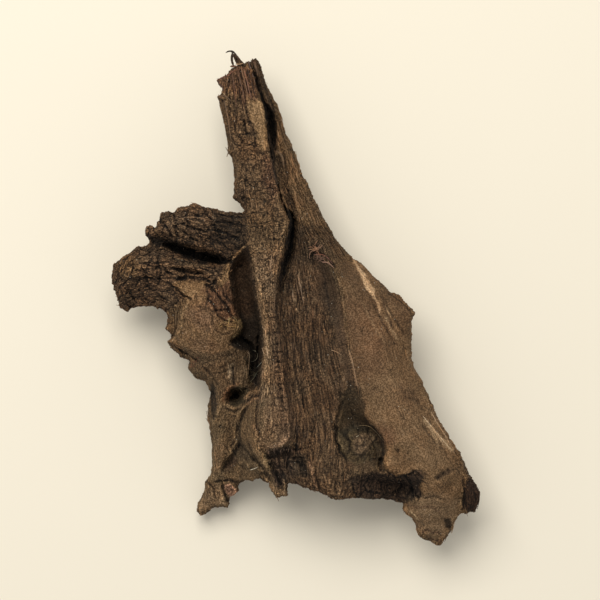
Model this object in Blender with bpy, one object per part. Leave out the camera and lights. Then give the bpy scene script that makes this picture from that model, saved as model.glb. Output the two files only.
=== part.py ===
"""Driftwood: one weathered stump fragment with a tapering spire, a raised strap, two arms and three feet.

It lies on its back. The outline and the ridge and furrow lines are drawn in millimetres, seen from
above, with X to the right, Y towards the spire's tip and Z up from the surface that it lies on. Two
skins are stretched over the lines, one above and one below, and a rounded rim joins them.
"""

import bmesh
import bpy
import numpy as np
from mathutils import Vector
from mathutils.geometry import delaunay_2d_cdt

MM = 0.001

# Driving dimensions in millimetres
SKIN_PITCH = 2.0  # spacing of the points that the two skins are stretched over
LINE_CLEARANCE = 1.3  # gap that the skin's own points keep to a drawn line
RIM_BULGE = 1.0  # how far the rounded rim stands out of the outline
VOXEL = 1.25
WEATHERING_DEPTH = 1.5
WEATHERING_SIZE = 8.0
FLOOR_CUT_SIZE = 320.0
FLOOR_CUT_DEPTH = 20.0
DRAWING_CENTRE = (-0.73, -0.72)  # the middle of the drawn shape, which becomes the origin

# Counts and ratios
RELAXING_SWEEPS = 1500
UPPER_SWELL = 0.016
LOWER_SWELL = 0.010
WORN_PASSES = 3
WORN_SHARE = 0.5
KEPT_FACES = 0.098
SLIVER_SIDES = 6

# Finish
WOOD_COLOUR = (0.105, 0.067, 0.042, 1.0)
WOOD_ROUGHNESS = 0.88

# The edge of the piece seen from above, counterclockwise from the torn tip
OUTLINE = [
    (-25, 117.5), (-28.5, 116.5), (-32.5, 113.5), (-35.5, 110), (-39.5, 108.5), (-37.5, 105),
    (-38.5, 99.5), (-37.5, 94), (-36, 87), (-34.5, 80.5), (-33.5, 72.5), (-31, 68), (-30.5, 57),
    (-30.5, 49.5), (-27, 45.5), (-26.5, 41.5),
    (-33, 42), (-38.5, 42.5), (-44, 44), (-51.5, 46), (-57.5, 44.5), (-63.5, 41.5), (-66.5, 42),
    (-69, 40), (-68.5, 36.5), (-73.5, 35.5), (-75.5, 34), (-75.5, 32), (-73, 28.5), (-69, 27),
    (-73, 25.5), (-78, 25), (-83, 22), (-87.5, 19.5), (-91, 16.5), (-92.5, 11), (-91.5, 5),
    (-89.5, -1), (-88.5, -4), (-86, -6), (-84, -4.2), (-78, -4), (-71, -4), (-68, -5), (-65, -6.5),
    (-64, -9.5), (-65, -15), (-62, -20), (-64, -23.5), (-61.5, -26.5), (-57, -29.5), (-53, -32.5),
    (-54, -36), (-52, -39), (-48.5, -40.5), (-45, -42), (-42.5, -47), (-44, -53.5), (-44, -60),
    (-43, -67.5), (-42, -75), (-42, -82), (-42, -89), (-46, -93.5), (-45.5, -97.5), (-49.5, -104),
    (-50, -108), (-47.5, -110), (-44, -107), (-39.5, -105.5), (-36, -106), (-34.5, -102),
    (-31, -98), (-31, -94.5), (-29, -92), (-22.5, -91.5), (-18.5, -89), (-14, -95), (-9.5, -100),
    (-7, -99.5), (-5.5, -97), (-5.5, -93.5), (-4, -90.5), (1.5, -94), (6, -95.5), (11.5, -97),
    (18, -100.5), (26, -100), (33.5, -100.5), (41, -101), (50.5, -101.5), (55, -102.5),
    (54.5, -106), (55.5, -109), (58.5, -110.5), (61, -113.5), (60.5, -117), (62, -120),
    (65, -122), (72.5, -124.5), (74, -121.5), (75.5, -118.5), (78, -116), (78.5, -112.5),
    (82, -107), (86, -107.5), (89, -107), (90.5, -104.5), (91, -100), (90.5, -96), (88.5, -93.5),
    (88, -90.5), (86, -90), (84, -85.5), (81.5, -79.5), (78, -74.5), (74, -68), (70, -61.5),
    (67, -55), (64.5, -49), (62, -43), (58.5, -36.5), (56.5, -31), (56.5, -22), (57, -18),
    (56.5, -11.5), (58, -8), (55.5, -4.5), (51, 0), (46, 2.5), (38, 10), (31.5, 16.5),
    (25.5, 20.5), (19.5, 27.5), (14, 36.5), (9.5, 45.5), (5.5, 54), (1.5, 61.5), (-2, 73),
    (-6.5, 82), (-9, 90.5), (-11, 97), (-15.5, 105), (-18.5, 113.5), (-20, 118.5), (-22.5, 119),
]

# The rim at places along the outline: x, y, height of its middle, thickness
RIM = [
    (-30, 115, 31, 9), (-37, 95, 31, 12), (-33, 72, 33, 14), (-30.5, 52, 34, 15), (-27, 42, 37, 10),
    (-50, 46, 38, 9), (-75, 33, 37, 7), (-70, 27, 34, 5), (-83, 22, 35, 11), (-92, 10, 31, 13),
    (-87, -6, 25, 8), (-72, -4, 30, 9), (-64, -12, 32, 10), (-63, -22, 29, 8), (-53, -34, 27, 9),
    (-46, -42, 25, 9), (-44, -60, 22, 11), (-42, -82, 17, 11), (-48, -104, 8, 9), (-36, -104, 9, 9),
    (-30, -93, 19, 8), (-20, -90, 26, 8), (-9, -99, 31, 8), (-3, -91, 37, 7), (6, -95.5, 39, 8),
    (18, -100, 40, 7), (35, -100.5, 35, 9), (52, -101.5, 26, 8), (55, -107, 30, 9),
    (61, -116, 24, 9), (72, -124, 21, 10), (78, -114, 26, 9), (90, -100, 30, 13), (87, -90.5, 31, 8),
    (80, -77, 33, 12), (67, -55, 38, 11), (57, -30, 35, 10), (57, -9, 37, 7), (44, 4, 35, 7),
    (25, 21, 31, 11), (10, 45, 31, 13), (-2, 73, 28, 13), (-11, 97, 28, 11), (-20, 117, 30, 7),
]

# Ridges and furrows of the upper skin: x, y, height
UPPER_LINES = {
    "strap_right_edge": [
        (-22.5, 114.5, 38), (-20.5, 103.5, 41), (-17, 98, 42), (-15.5, 87.5, 43.5),
        (-14, 75.5, 45), (-11, 62.5, 47), (-8.5, 52.5, 49), (-6, 45, 51), (-4, 37, 52.5),
        (-5.5, 32, 53.5), (-6, 25.5, 54.5), (-8.5, 18.5, 55.5), (-10, 8.5, 57), (-11.5, -8.5, 58.5),
        (-9.5, -19, 58.5), (-8.5, -31.5, 58), (-7, -45.5, 57), (-4, -56.5, 56), (-3, -64, 54.5),
        (-4, -70.5, 53), (-8, -75, 51),
    ],
    "strap_left_edge": [
        (-36, 99, 38), (-34, 87, 41), (-31, 72, 44), (-28.2, 58, 46.5), (-28, 49, 48),
        (-25, 41, 50), (-25, 33, 51.5), (-23.5, 27, 52.5), (-22, 18.5, 54), (-22, 11, 55),
        (-20, 2.5, 56), (-18, -5, 57.5), (-16, -14, 59), (-15.5, -22, 60), (-15.5, -29.5, 60),
        (-17, -37, 59), (-17, -44.5, 57.5), (-18.5, -51.5, 55), (-19.5, -57.5, 52.5),
        (-20, -64, 49.5), (-21, -71.5, 46), (-20, -77.5, 43),
    ],
    "gutter_right_of_strap": [
        (-21, 114, 31), (-18, 103.5, 30), (-14.7, 97, 30), (-13, 87, 31), (-11.7, 75, 32.5),
        (-8.9, 62.5, 36), (-6.3, 52.5, 38), (-3.5, 45, 38), (-1.4, 37, 38), (-2.7, 31, 38),
        (-3.4, 24.5, 38.5), (-5.7, 17.5, 40), (-7.2, 8.5, 43), (-8.5, -8.5, 47), (-6.2, -19, 49),
        (-5.2, -31.5, 50), (-3.7, -45.5, 50), (-0.9, -56.5, 50), (0.1, -64.5, 49.5),
        (-0.8, -72, 48.5), (-5, -78, 46),
    ],
    "outer_strip": [
        (-21.2, 117, 35), (-16.3, 103, 37), (-11.5, 90, 37.5), (-7.5, 78, 38), (-4, 66, 40),
        (0, 55, 42.5), (5, 42, 43.5), (9, 33, 44),
    ],
    "lobe_edge_over_crevice": [
        (-27.5, 24.5, 45.5), (-30.5, 21.5, 45.5), (-33, 17.5, 45.5), (-34.5, 12.5, 45.5),
        (-33, 5, 45.5), (-32, -5, 45), (-29.5, -14, 43.5), (-32.5, -21.5, 40.5),
        (-28.5, -25, 38.5), (-25.5, -27.5, 37), (-25, -33.5, 36), (-24.5, -40.5, 37),
    ],
    "crevice_floor_left": [
        (-26.5, 20.5, 37), (-29.8, 16, 34), (-30.8, 10, 31), (-29.8, 3, 28.5), (-28.8, -4, 26.5),
        (-26.5, -11, 25), (-26, -17, 24), (-27.5, -21, 24), (-23, -26, 22.5), (-22, -33, 22),
        (-22, -40, 24),
    ],
    "crevice_floor_right": [
        (-26, 19, 36), (-25, 12, 31), (-24.2, 4, 28), (-22, -4, 25.5), (-20, -11, 23.5),
        (-19, -20, 22), (-19, -30, 21.5), (-20, -38, 23), (-21, -45.5, 28),
    ],
    "lobe_crest": [
        (-60, 6, 46.5), (-53.5, 2.5, 48.5), (-48.5, -2, 50), (-43.5, -10.5, 50.5),
        (-43, -18, 48.5), (-40, -27, 44), (-37, -34, 42.5), (-36, -42, 40),
    ],
    "lobe_lower_step_top": [(-62, -17.5, 39), (-57, -23, 41), (-52, -26.5, 41.5), (-46.5, -28.5, 42)],
    "lobe_lower_step_foot": [(-59.5, -25.5, 34.5), (-54, -29.5, 35.5), (-48, -32, 37.5)],
    "lower_lobe_crest": [(-49.5, -35.5, 37), (-43, -39, 38), (-39.5, -46, 37.5)],
    "knothole_rim": [
        (-36, -45.5, 39), (-31, -44, 39), (-26.8, -46.5, 39), (-26, -50.5, 39), (-28.5, -54.5, 38),
        (-33, -55.5, 38), (-36.5, -52, 37.5), (-36, -45.5, 39),
    ],
    "knothole_floor": [
        (-33.2, -47.8, 28), (-29.8, -47.2, 28), (-28.8, -50, 27), (-30.5, -52.3, 27),
        (-33.5, -51.6, 28), (-33.2, -47.8, 28),
    ],
    "leg_left_crest": [
        (-40.5, -56.5, 35.5), (-39, -66.5, 33.5), (-38.3, -76.5, 30.5), (-38, -85.5, 26),
        (-40.5, -93, 20), (-42, -99, 16), (-46, -105.5, 12.5),
    ],
    "leg_furrow": [(-32, -61.5, 31.5), (-32, -71.5, 28.5), (-33, -79, 25), (-34, -86, 20.5)],
    "leg_right_crest": [
        (-25.5, -57.5, 39), (-26.5, -67.5, 37), (-27, -76.5, 34), (-26, -84, 29), (-30, -88.5, 24),
    ],
    "foot_chip": [(-35, -95, 19), (-33.5, -99.5, 17)],
    "middle_foot_crest": [(-17.5, -82.5, 40.5), (-13.5, -89, 38.5), (-9.5, -95.5, 36)],
    "broken_strap_end": [(-12.5, -79, 44), (-10, -83, 40), (-8.5, -87.5, 38)],
    "beside_broken_end": [(-3.5, -82.5, 45), (-0.5, -88.5, 43.5)],
    "upper_arm_crest": [
        (-29, 33, 43), (-41, 34.5, 46), (-51, 37.5, 48.5), (-61, 36.5, 48.5), (-68, 33, 45),
        (-72, 32, 42),
    ],
    "upper_arm_lower_edge": [
        (-67.5, 29.2, 40), (-60.5, 27.2, 42), (-51, 24.8, 43.5), (-42.5, 22.3, 43.5),
        (-36.5, 20, 44),
    ],
    "gap_floor": [(-66, 26.4, 31), (-58.5, 23.6, 25), (-51, 21.5, 23), (-43.5, 19.4, 25), (-38, 17.6, 32)],
    "lower_arm_gap_edge": [(-66, 23.2, 39), (-58.5, 20.2, 38.5), (-51, 18.2, 38.5), (-43.5, 16.4, 39.5)],
    "lower_arm_crest": [
        (-38, 11, 42.5), (-46, 14, 42.5), (-56, 15.5, 45), (-66, 17.5, 47.5), (-76, 16.5, 48),
        (-83.5, 12.5, 46), (-86.5, 6, 42), (-86.5, -0.5, 36),
    ],
    "lower_arm_furrow": [(-57.5, 12.3, 41), (-51, 11.2, 39.5), (-45, 9.6, 40)],
    "lower_arm_second_crest": [(-75, 4.5, 43), (-67, 1.5, 43)],
    "fibre_face": [
        (3.5, 36, 42.5), (5, 23.5, 41.5), (5.5, 8.5, 43), (6.5, -11.5, 46), (7.5, -31.5, 48),
        (9.5, -51.5, 48.5), (12.5, -71.5, 48.5), (15.5, -86.5, 47), (17, -95, 45),
    ],
    "fibre_hollow": [(14, 8.5, 42), (16, -1.5, 43.5)],
    "knot_stub": [(10.5, 24.5, 46.5), (12.5, 22.5, 46.5)],
    "wing_ridge": [
        (13.5, 27, 45), (17.5, 16, 47), (21, 8, 48.5), (24, -5, 49.5), (26, -26.5, 50.5),
        (29, -43, 50), (33.5, -56, 48.5),
    ],
    "wing_crest": [
        (27.5, 10, 46), (35.5, -2, 46.5), (40.5, -16.5, 48.5), (43.5, -31.5, 51.5),
        (48.5, -46.5, 53.5), (54, -61.5, 54.5), (61.5, -76.5, 53.5), (69.5, -89, 50.5),
        (72.5, -101.5, 44), (70.5, -113, 35),
    ],
    "bowl_left_rim": [
        (21, -51.5, 48), (19, -59, 48), (18, -66.5, 47.5), (18, -73, 47.5), (20, -79.5, 47),
        (25, -85.5, 46.5), (32, -88, 45),
    ],
    "bowl_right_lip": [
        (33.5, -58.5, 49), (38.5, -62.5, 50), (42.5, -67.5, 50.5), (45.5, -74, 50.5), (46, -81, 49.5),
        (42.5, -86, 48),
    ],
    "bowl_floor": [
        (25, -55, 44), (25.5, -60, 41.5), (30, -62.5, 39.5), (35.5, -65, 39), (39.5, -69.5, 39),
        (42, -75, 39.5), (42, -81, 40.5),
    ],
    "bowl_knob": [
        (24.5, -75.5, 46), (28.5, -70.5, 46.5), (33, -70.5, 46), (35.5, -75.5, 46), (30.5, -80, 46),
        (24.5, -75.5, 46),
    ],
    "moat_beside_knob": [(21, -66, 43.5), (20.8, -72, 43.5), (22.5, -78.3, 43.5), (27, -83.2, 43.5)],
    "cavity_upper_edge": [
        (40, -88.5, 44), (47.5, -87.5, 47), (54, -88, 47.5), (60.5, -89.5, 47.5), (64, -95, 46.5),
        (62.5, -101, 43.5),
    ],
    "cavity_floor": [(36, -94, 38), (44, -94, 33), (51.5, -95, 30.5), (58, -96.5, 33)],
    "right_foot_crest": [(64, -107, 40), (66.5, -114, 35.5), (70.5, -119.5, 30)],
    "side_knob": [(87, -99, 39), (87.5, -103, 36.5)],
    "beside_side_knob": [(83.2, -95, 36), (83, -102, 32)],
}

# Ridges and hollows of the lower skin: x, y, height. It reaches the surface at three low points
LOWER_LINES = {
    "spine": [
        (-28, 108, 21), (-22, 85, 13), (-16, 62, 3), (-14.5, 55, -2.2), (-13, 46, -2.2),
        (-8, 35, 3), (0, 10, 7), (10, -20, 9), (25, -50, 6),
    ],
    "right_haunch": [(45, -74, 2.5), (57, -85, -2.2), (65, -92, -2.4), (61, -98, -2.2)],
    "left_side": [(-36, 10, 17), (-42, -20, 13), (-36, -50, 8), (-37, -75, 3)],
    "hollow_left_of_spine": [(-17, -8, 13.5), (-10, -42, 15)],
    "hollow_right_of_spine": [(24, -18, 17), (38, -50, 17)],
    "left_heel": [(-38.5, -90, -1.5), (-39.5, -95, -2.4), (-42, -101, -2.4)],
    "upper_arm_belly": [(-40, 35, 29), (-52, 36, 28), (-66, 34, 31)],
    "lower_arm_belly": [(-50, 10, 21), (-68, 13, 21), (-83, 10, 22)],
    "under_the_eaves": [(-8, -75, 19), (14, -87, 28), (34, -89, 22)],
    "wing_back": [(20, 14, 13), (36, -8, 15), (44, -35, 13), (57, -63, 9)],
    "right_foot_sole": [(68, -112, 12)],
}

# The fibre that curls up from the torn tip: x, y, height, radius
SLIVER = [
    (-26, 112.5, 34, 2.2), (-28.5, 116.5, 36, 1.7), (-30.8, 120, 37.5, 1.3), (-32.2, 122.2, 38, 1.0),
    (-34, 122.8, 37.5, 0.8), (-36, 121.7, 36.5, 0.6),
]


def walk(points, pitch):
    """The polyline's points, with more between them so that no two are further apart than pitch."""
    walked = []
    for start, end in zip(points[:-1], points[1:]):
        start, end = np.array(start, float), np.array(end, float)
        steps = max(1, int(np.ceil(np.linalg.norm((end - start)[:2]) / pitch)))
        walked += [start + (end - start) * step / steps for step in range(steps)]
    return np.array([*walked, np.array(points[-1], float)])


def inside(points, polygon):
    """For each point, whether it lies inside the closed polygon."""
    odd = np.zeros(len(points), bool)
    for (x0, y0), (x1, y1) in zip(polygon, np.roll(polygon, -1, axis=0)):
        spans = (y0 > points[:, 1]) != (y1 > points[:, 1])
        crossing = x0 + (points[:, 1] - y0) * (x1 - x0) / ((y1 - y0) or 1e-9)
        odd ^= spans & (points[:, 0] < crossing)
    return odd


def nearest_gap(points, others):
    """Each point's distance to the nearest of the others."""
    gaps = [np.hypot(others[:, 0] - x, others[:, 1] - y).min() for x, y in points]
    return np.array(gaps)


def rim_at(points):
    """Height and thickness of the rim at each outline point, eased between the stated places."""
    rim = np.array(RIM, float)
    gaps = np.hypot(points[:, :1] - rim[:, 0], points[:, 1:2] - rim[:, 1])
    shares = 1 / (gaps + 0.5) ** 3
    shares /= shares.sum(axis=1, keepdims=True)
    return shares @ rim[:, 2], shares @ rim[:, 3]


def grid_in(polygon, taken):
    """A triangular grid inside the polygon, clear of the points that are taken."""
    low, high = polygon.min(axis=0), polygon.max(axis=0)
    row_height = SKIN_PITCH * np.sqrt(0.75)
    rows = []
    for row, y in enumerate(np.arange(low[1], high[1], row_height)):
        xs = np.arange(low[0] + SKIN_PITCH * (row % 2) / 2, high[0], SKIN_PITCH)
        rows.append(np.column_stack([xs, np.full(len(xs), y)]))
    grid = np.concatenate(rows)
    grid = grid[inside(grid, polygon)]
    return grid[nearest_gap(grid, taken) > LINE_CLEARANCE]


def relaxed(points, triangles, fixed_heights, swell):
    """Heights of a skin that is held at the points with a fixed height and swells between them."""
    count = len(points)
    ends = np.concatenate([triangles[:, [0, 1]], triangles[:, [1, 2]], triangles[:, [2, 0]]])
    ends = np.unique(np.sort(ends, axis=1), axis=0)
    here, there = np.concatenate([ends, ends[:, ::-1]]).T
    neighbours = np.bincount(here, minlength=count)
    spacing = ((points[here] - points[there]) ** 2).sum(axis=1)
    lift = swell * np.bincount(here, spacing, count) / neighbours / 4
    free = np.isnan(fixed_heights)
    heights = np.where(free, np.nanmean(fixed_heights), fixed_heights)
    for _ in range(RELAXING_SWEEPS):
        level = np.bincount(here, heights[there], count) / neighbours + lift
        heights[free] = level[free]
    return heights


def skin(rim_points, rim_heights, lines, swell):
    """Points and triangles of one skin, whose first points are those of the rim."""
    drawn = np.concatenate([walk(line, SKIN_PITCH) for line in lines])
    drawn = drawn[nearest_gap(drawn[:, :2], rim_points) > LINE_CLEARANCE]
    taken = np.concatenate([rim_points, drawn[:, :2]])
    plan = np.concatenate([taken, grid_in(rim_points, taken)])
    fixed = np.full(len(plan), np.nan)
    fixed[: len(taken)] = np.concatenate([rim_heights, drawn[:, 2]])
    loop = np.arange(len(rim_points))
    edges = np.column_stack([loop, np.roll(loop, -1)]).tolist()
    made = delaunay_2d_cdt([Vector(p) for p in plan.tolist()], edges, [], 1, 1e-5)
    points, triangles, origins = np.array(made[0]), np.array(made[2]), made[3]
    heights = np.array([fixed[o[0]] if o else np.nan for o in origins])
    return np.column_stack([points, relaxed(points, triangles, heights, swell)]), triangles


def outward(rim_points):
    """Unit directions out of the counterclockwise rim, one for each of its points."""
    along = np.roll(rim_points, -1, axis=0) - np.roll(rim_points, 1, axis=0)
    along /= np.linalg.norm(along, axis=1, keepdims=True)
    return np.column_stack([along[:, 1], -along[:, 0]])


def make_wood():
    """The closed body: upper skin, lower skin and the rim between them."""
    rim = walk([*OUTLINE, OUTLINE[0]], SKIN_PITCH)[:-1]
    heights, thickness = rim_at(rim)
    front, front_faces = skin(rim, heights + thickness / 2, UPPER_LINES.values(), UPPER_SWELL)
    back, back_faces = skin(rim, heights - thickness / 2, LOWER_LINES.values(), -LOWER_SWELL)
    middle = np.column_stack([rim + RIM_BULGE * outward(rim), heights])

    wood = bmesh.new()
    front_verts = [wood.verts.new(p) for p in front]
    back_verts = [wood.verts.new(p) for p in back]
    middle_verts = [wood.verts.new(p) for p in middle]
    for a, b, c in front_faces:
        wood.faces.new((front_verts[a], front_verts[b], front_verts[c]))
    for a, b, c in back_faces:
        wood.faces.new((back_verts[c], back_verts[b], back_verts[a]))
    for here in range(len(rim)):
        there = (here + 1) % len(rim)
        for low, high in ((back_verts, middle_verts), (middle_verts, front_verts)):
            wood.faces.new((low[here], low[there], high[there], high[here]))
    bmesh.ops.recalc_face_normals(wood, faces=wood.faces)
    bmesh.ops.scale(wood, vec=(MM, MM, MM), verts=wood.verts)
    return wood


def make_sliver():
    """The curled fibre, as a tapering tube with closed ends."""
    sliver = bmesh.new()
    rings = []
    for number, (x, y, z, radius) in enumerate(SLIVER):
        before = Vector(SLIVER[max(number - 1, 0)][:3])
        after = Vector(SLIVER[min(number + 1, len(SLIVER) - 1)][:3])
        turn = (after - before).to_track_quat("Z", "Y")
        ring = []
        for side in range(SLIVER_SIDES):
            angle = 2 * np.pi * side / SLIVER_SIDES
            spoke = turn @ Vector((np.cos(angle) * radius, np.sin(angle) * radius, 0))
            ring.append(sliver.verts.new((Vector((x, y, z)) + spoke) * MM))
        rings.append(ring)
    for low, high in zip(rings[:-1], rings[1:]):
        for side in range(SLIVER_SIDES):
            after = (side + 1) % SLIVER_SIDES
            sliver.faces.new((low[side], low[after], high[after], high[side]))
    sliver.faces.new(rings[0])
    sliver.faces.new(rings[-1])
    bmesh.ops.recalc_face_normals(sliver, faces=sliver.faces)
    return sliver


def make_floor_cutter():
    """A slab below the surface, which grinds the three low points flat."""
    cutter = bmesh.new()
    bmesh.ops.create_cube(cutter, size=1)
    size = Vector((FLOOR_CUT_SIZE, FLOOR_CUT_SIZE, FLOOR_CUT_DEPTH)) * MM
    bmesh.ops.scale(cutter, vec=size, verts=cutter.verts)
    bmesh.ops.translate(cutter, vec=(0, 0, -size.z / 2), verts=cutter.verts)
    return cutter


def as_object(name, built):
    """The bmesh as an object of that name, moved from the drawing's centre to the origin."""
    x, y = DRAWING_CENTRE
    bmesh.ops.translate(built, vec=(-x * MM, -y * MM, 0), verts=built.verts)
    mesh = bpy.data.meshes.new(name)
    built.to_mesh(mesh)
    built.free()
    obj = bpy.data.objects.new(name, mesh)
    bpy.context.scene.collection.objects.link(obj)
    return obj


def as_helper(obj):
    """Keeps the object out of the render, as a cutter or a piece that a union takes in."""
    obj.hide_render = True
    obj.display_type = "WIRE"
    return obj


def add_boolean(obj, name, operation, other):
    """A Boolean modifier on the object."""
    modifier = obj.modifiers.new(name, "BOOLEAN")
    modifier.operation = operation
    modifier.object = other


def wear(obj):
    """Fuses the skins into one even surface, wears its edges, and raises the slow bumps of old wood."""
    fuse = obj.modifiers.new("fused skins", "REMESH")
    fuse.mode = "VOXEL"
    fuse.voxel_size = VOXEL * MM
    fuse.use_smooth_shade = True
    worn = obj.modifiers.new("worn edges", "SMOOTH")
    worn.factor = WORN_SHARE
    worn.iterations = WORN_PASSES
    bumps = bpy.data.textures.new("slow_bumps", "CLOUDS")
    bumps.noise_scale = WEATHERING_SIZE * MM
    weathering = obj.modifiers.new("weathering", "DISPLACE")
    weathering.texture = bumps
    weathering.strength = WEATHERING_DEPTH * MM
    fewer = obj.modifiers.new("fewer faces", "DECIMATE")
    fewer.ratio = KEPT_FACES


def wood_material():
    """Dark weathered wood."""
    material = bpy.data.materials.new("weathered_wood")
    material.use_nodes = True
    shader = material.node_tree.nodes["Principled BSDF"]
    shader.inputs["Base Color"].default_value = WOOD_COLOUR
    shader.inputs["Roughness"].default_value = WOOD_ROUGHNESS
    shader.inputs["Metallic"].default_value = 0
    return material


def main():
    for obj in list(bpy.data.objects):
        bpy.data.objects.remove(obj)
    driftwood = as_object("driftwood", make_wood())
    driftwood.data.materials.append(wood_material())
    wear(driftwood)
    torn_fibre = as_helper(as_object("torn_fibre", make_sliver()))
    floor_cutter = as_helper(as_object("floor_cutter", make_floor_cutter()))
    add_boolean(driftwood, "torn fibre", "UNION", torn_fibre)
    add_boolean(driftwood, "resting points", "DIFFERENCE", floor_cutter)


main()
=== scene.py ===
import bpy
import numpy as np
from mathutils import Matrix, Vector
from mathutils.bvhtree import BVHTree


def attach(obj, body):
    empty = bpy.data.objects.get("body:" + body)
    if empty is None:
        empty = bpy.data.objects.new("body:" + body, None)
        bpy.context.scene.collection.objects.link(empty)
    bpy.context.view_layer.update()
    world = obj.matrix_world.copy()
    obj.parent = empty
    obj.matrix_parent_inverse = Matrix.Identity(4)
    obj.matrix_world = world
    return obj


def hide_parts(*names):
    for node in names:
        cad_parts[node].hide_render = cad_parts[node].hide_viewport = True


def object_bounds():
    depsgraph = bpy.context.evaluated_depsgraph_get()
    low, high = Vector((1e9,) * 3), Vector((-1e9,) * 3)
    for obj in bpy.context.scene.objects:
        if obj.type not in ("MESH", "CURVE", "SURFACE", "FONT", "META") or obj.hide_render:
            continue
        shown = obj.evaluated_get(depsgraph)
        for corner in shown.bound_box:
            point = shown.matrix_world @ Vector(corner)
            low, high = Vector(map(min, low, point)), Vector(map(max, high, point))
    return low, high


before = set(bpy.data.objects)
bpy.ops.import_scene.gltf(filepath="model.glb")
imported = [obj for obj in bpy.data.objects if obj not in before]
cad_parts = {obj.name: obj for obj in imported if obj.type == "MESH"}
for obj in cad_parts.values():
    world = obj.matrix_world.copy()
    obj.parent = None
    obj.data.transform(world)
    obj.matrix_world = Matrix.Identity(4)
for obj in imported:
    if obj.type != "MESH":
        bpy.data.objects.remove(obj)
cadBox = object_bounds()
scene = bpy.context.scene
mm = 0.001

# where a photo pixel lies in the frame: the row's origin in pixels, a pixel's size, and how many go across
photo = {"origin": (295.54, 298.44), "mmPerPixel": 0.5, "across": 600}


def fromPhoto(path):
    # photo pixels to millimetres in the frame
    return (np.array(path, float) - photo["origin"]) * (photo["mmPerPixel"], -photo["mmPerPixel"])


# Sockets as Python values

class Wire:
    # an output socket that can be used in a sum
    def __init__(self, graph, socket):
        self.graph = graph
        self.socket = socket

    def __add__(self, other):
        return self.graph.maths("ADD", self, other)

    def __sub__(self, other):
        return self.graph.maths("SUBTRACT", self, other)

    def __rsub__(self, other):
        return self.graph.maths("SUBTRACT", other, self)

    def __mul__(self, other):
        return self.graph.maths("MULTIPLY", self, other)

    def __truediv__(self, other):
        return self.graph.maths("DIVIDE", self, other)

    def __rtruediv__(self, other):
        return self.graph.maths("DIVIDE", other, self)

    __radd__ = __add__
    __rmul__ = __mul__


class Graph:
    # a shader or geometry tree that nodes are added to
    def __init__(self, tree):
        self.tree = tree

    def add(self, kind, settings, sockets, output=0):
        # one node: its settings first, then the values or links of its sockets
        node = self.tree.nodes.new(kind)
        for name, value in settings.items():
            if name == "stops":
                for number, (place, colour) in enumerate(value):
                    if number > 1:
                        node.color_ramp.elements.new(place)
                    node.color_ramp.elements[number].position = place
                    node.color_ramp.elements[number].color = colour
            else:
                setattr(node, name, value)
        for name, value in sockets.items():
            socket = node.inputs[name]
            if isinstance(value, Wire):
                self.tree.links.new(value.socket, socket)
            else:
                socket.default_value = value
        return Wire(self, node.outputs[output])

    def maths(self, operation, *values):
        return self.add("ShaderNodeMath", {"operation": operation}, dict(enumerate(values)))

    def smooth(self, value, low, high):
        # 0 below low, 1 above high, and an eased step between
        return self.add("ShaderNodeMapRange", {"interpolation_type": "SMOOTHSTEP"},
                        {"Value": value, "From Min": low, "From Max": high})

    def noise(self, place, size, detail=2.0, rough=0.5, output=0):
        return self.add("ShaderNodeTexNoise", {},
                        {"Vector": place, "Scale": size, "Detail": detail, "Roughness": rough}, output)

    def cells(self, place, size, feature="DISTANCE_TO_EDGE", output=0, random=1.0):
        return self.add("ShaderNodeTexVoronoi", {"feature": feature},
                        {"Vector": place, "Scale": size, "Randomness": random}, output)

    def stretched(self, place, scale, shift=(0.0, 0.0, 0.0)):
        # the same place with each axis scaled, which draws a pattern out along the small ones
        return self.add("ShaderNodeVectorMath", {"operation": "MULTIPLY_ADD"},
                        {0: place, 1: scale, 2: shift})

    def bent(self, place, size, reach):
        # the same place pushed about by a slow noise, so that straight patterns wander
        return self.pushed(place, self.noise(place, 1 / size, 2.0, 0.6, 1), reach)

    def pushed(self, place, shift, reach):
        return self.add("ShaderNodeVectorMath", {"operation": "MULTIPLY_ADD"},
                        {0: shift, 1: (reach,) * 3, 2: place})

    def scaled(self, vector, factor):
        return self.add("ShaderNodeVectorMath", {"operation": "SCALE"}, {0: vector, "Scale": factor})

    def layer(self, name, kind="FLOAT"):
        # an attribute of the mesh, in a geometry tree
        return self.add("GeometryNodeInputNamedAttribute", {"data_type": kind}, {"Name": name})

    def randomVector(self, lowest, highest, seed):
        return self.add("FunctionNodeRandomValue", {"data_type": "FLOAT_VECTOR"},
                        {0: lowest, 1: highest, "Seed": seed})

    def randomNumber(self, lowest, highest, seed):
        return self.add("FunctionNodeRandomValue", {"data_type": "FLOAT"},
                        {2: lowest, 3: highest, "Seed": seed}, 1)

    def bump(self, height, distance, strength=1.0):
        return self.add("ShaderNodeBump", {}, {"Height": height, "Strength": strength, "Distance": distance})

    def joints(self, grain, size, stretch):
        # the distance to the nearest joint between cubical blocks of that size
        return self.cells(self.stretched(self.bent(grain, 4.0, 3.2), stretch), 1 / size) * size

    def mixed(self, share, first, second, blend="MIX"):
        # two colours
        return self.add("ShaderNodeMix", {"data_type": "RGBA", "blend_type": blend},
                        {0: share, 6: first, 7: second}, 2)


def interfaceOf(tree, inputs):
    # a geometry tree's named inputs and its output: its graph, and the inputs as wires
    tree.interface.new_socket("Geometry", in_out="INPUT", socket_type="NodeSocketGeometry")
    for name, kind in inputs.items():
        tree.interface.new_socket(name, in_out="INPUT", socket_type="NodeSocket" + kind)
    tree.interface.new_socket("Geometry", in_out="OUTPUT", socket_type="NodeSocketGeometry")
    graph = Graph(tree)
    start = tree.nodes.new("NodeGroupInput")
    return graph, {item.name: Wire(graph, item) for item in start.outputs if item.name}


def finishTree(tree, last):
    tree.links.new(last.socket, tree.nodes.new("NodeGroupOutput").inputs["Geometry"])


# Points, normals and attributes of a mesh, in millimetres

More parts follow.
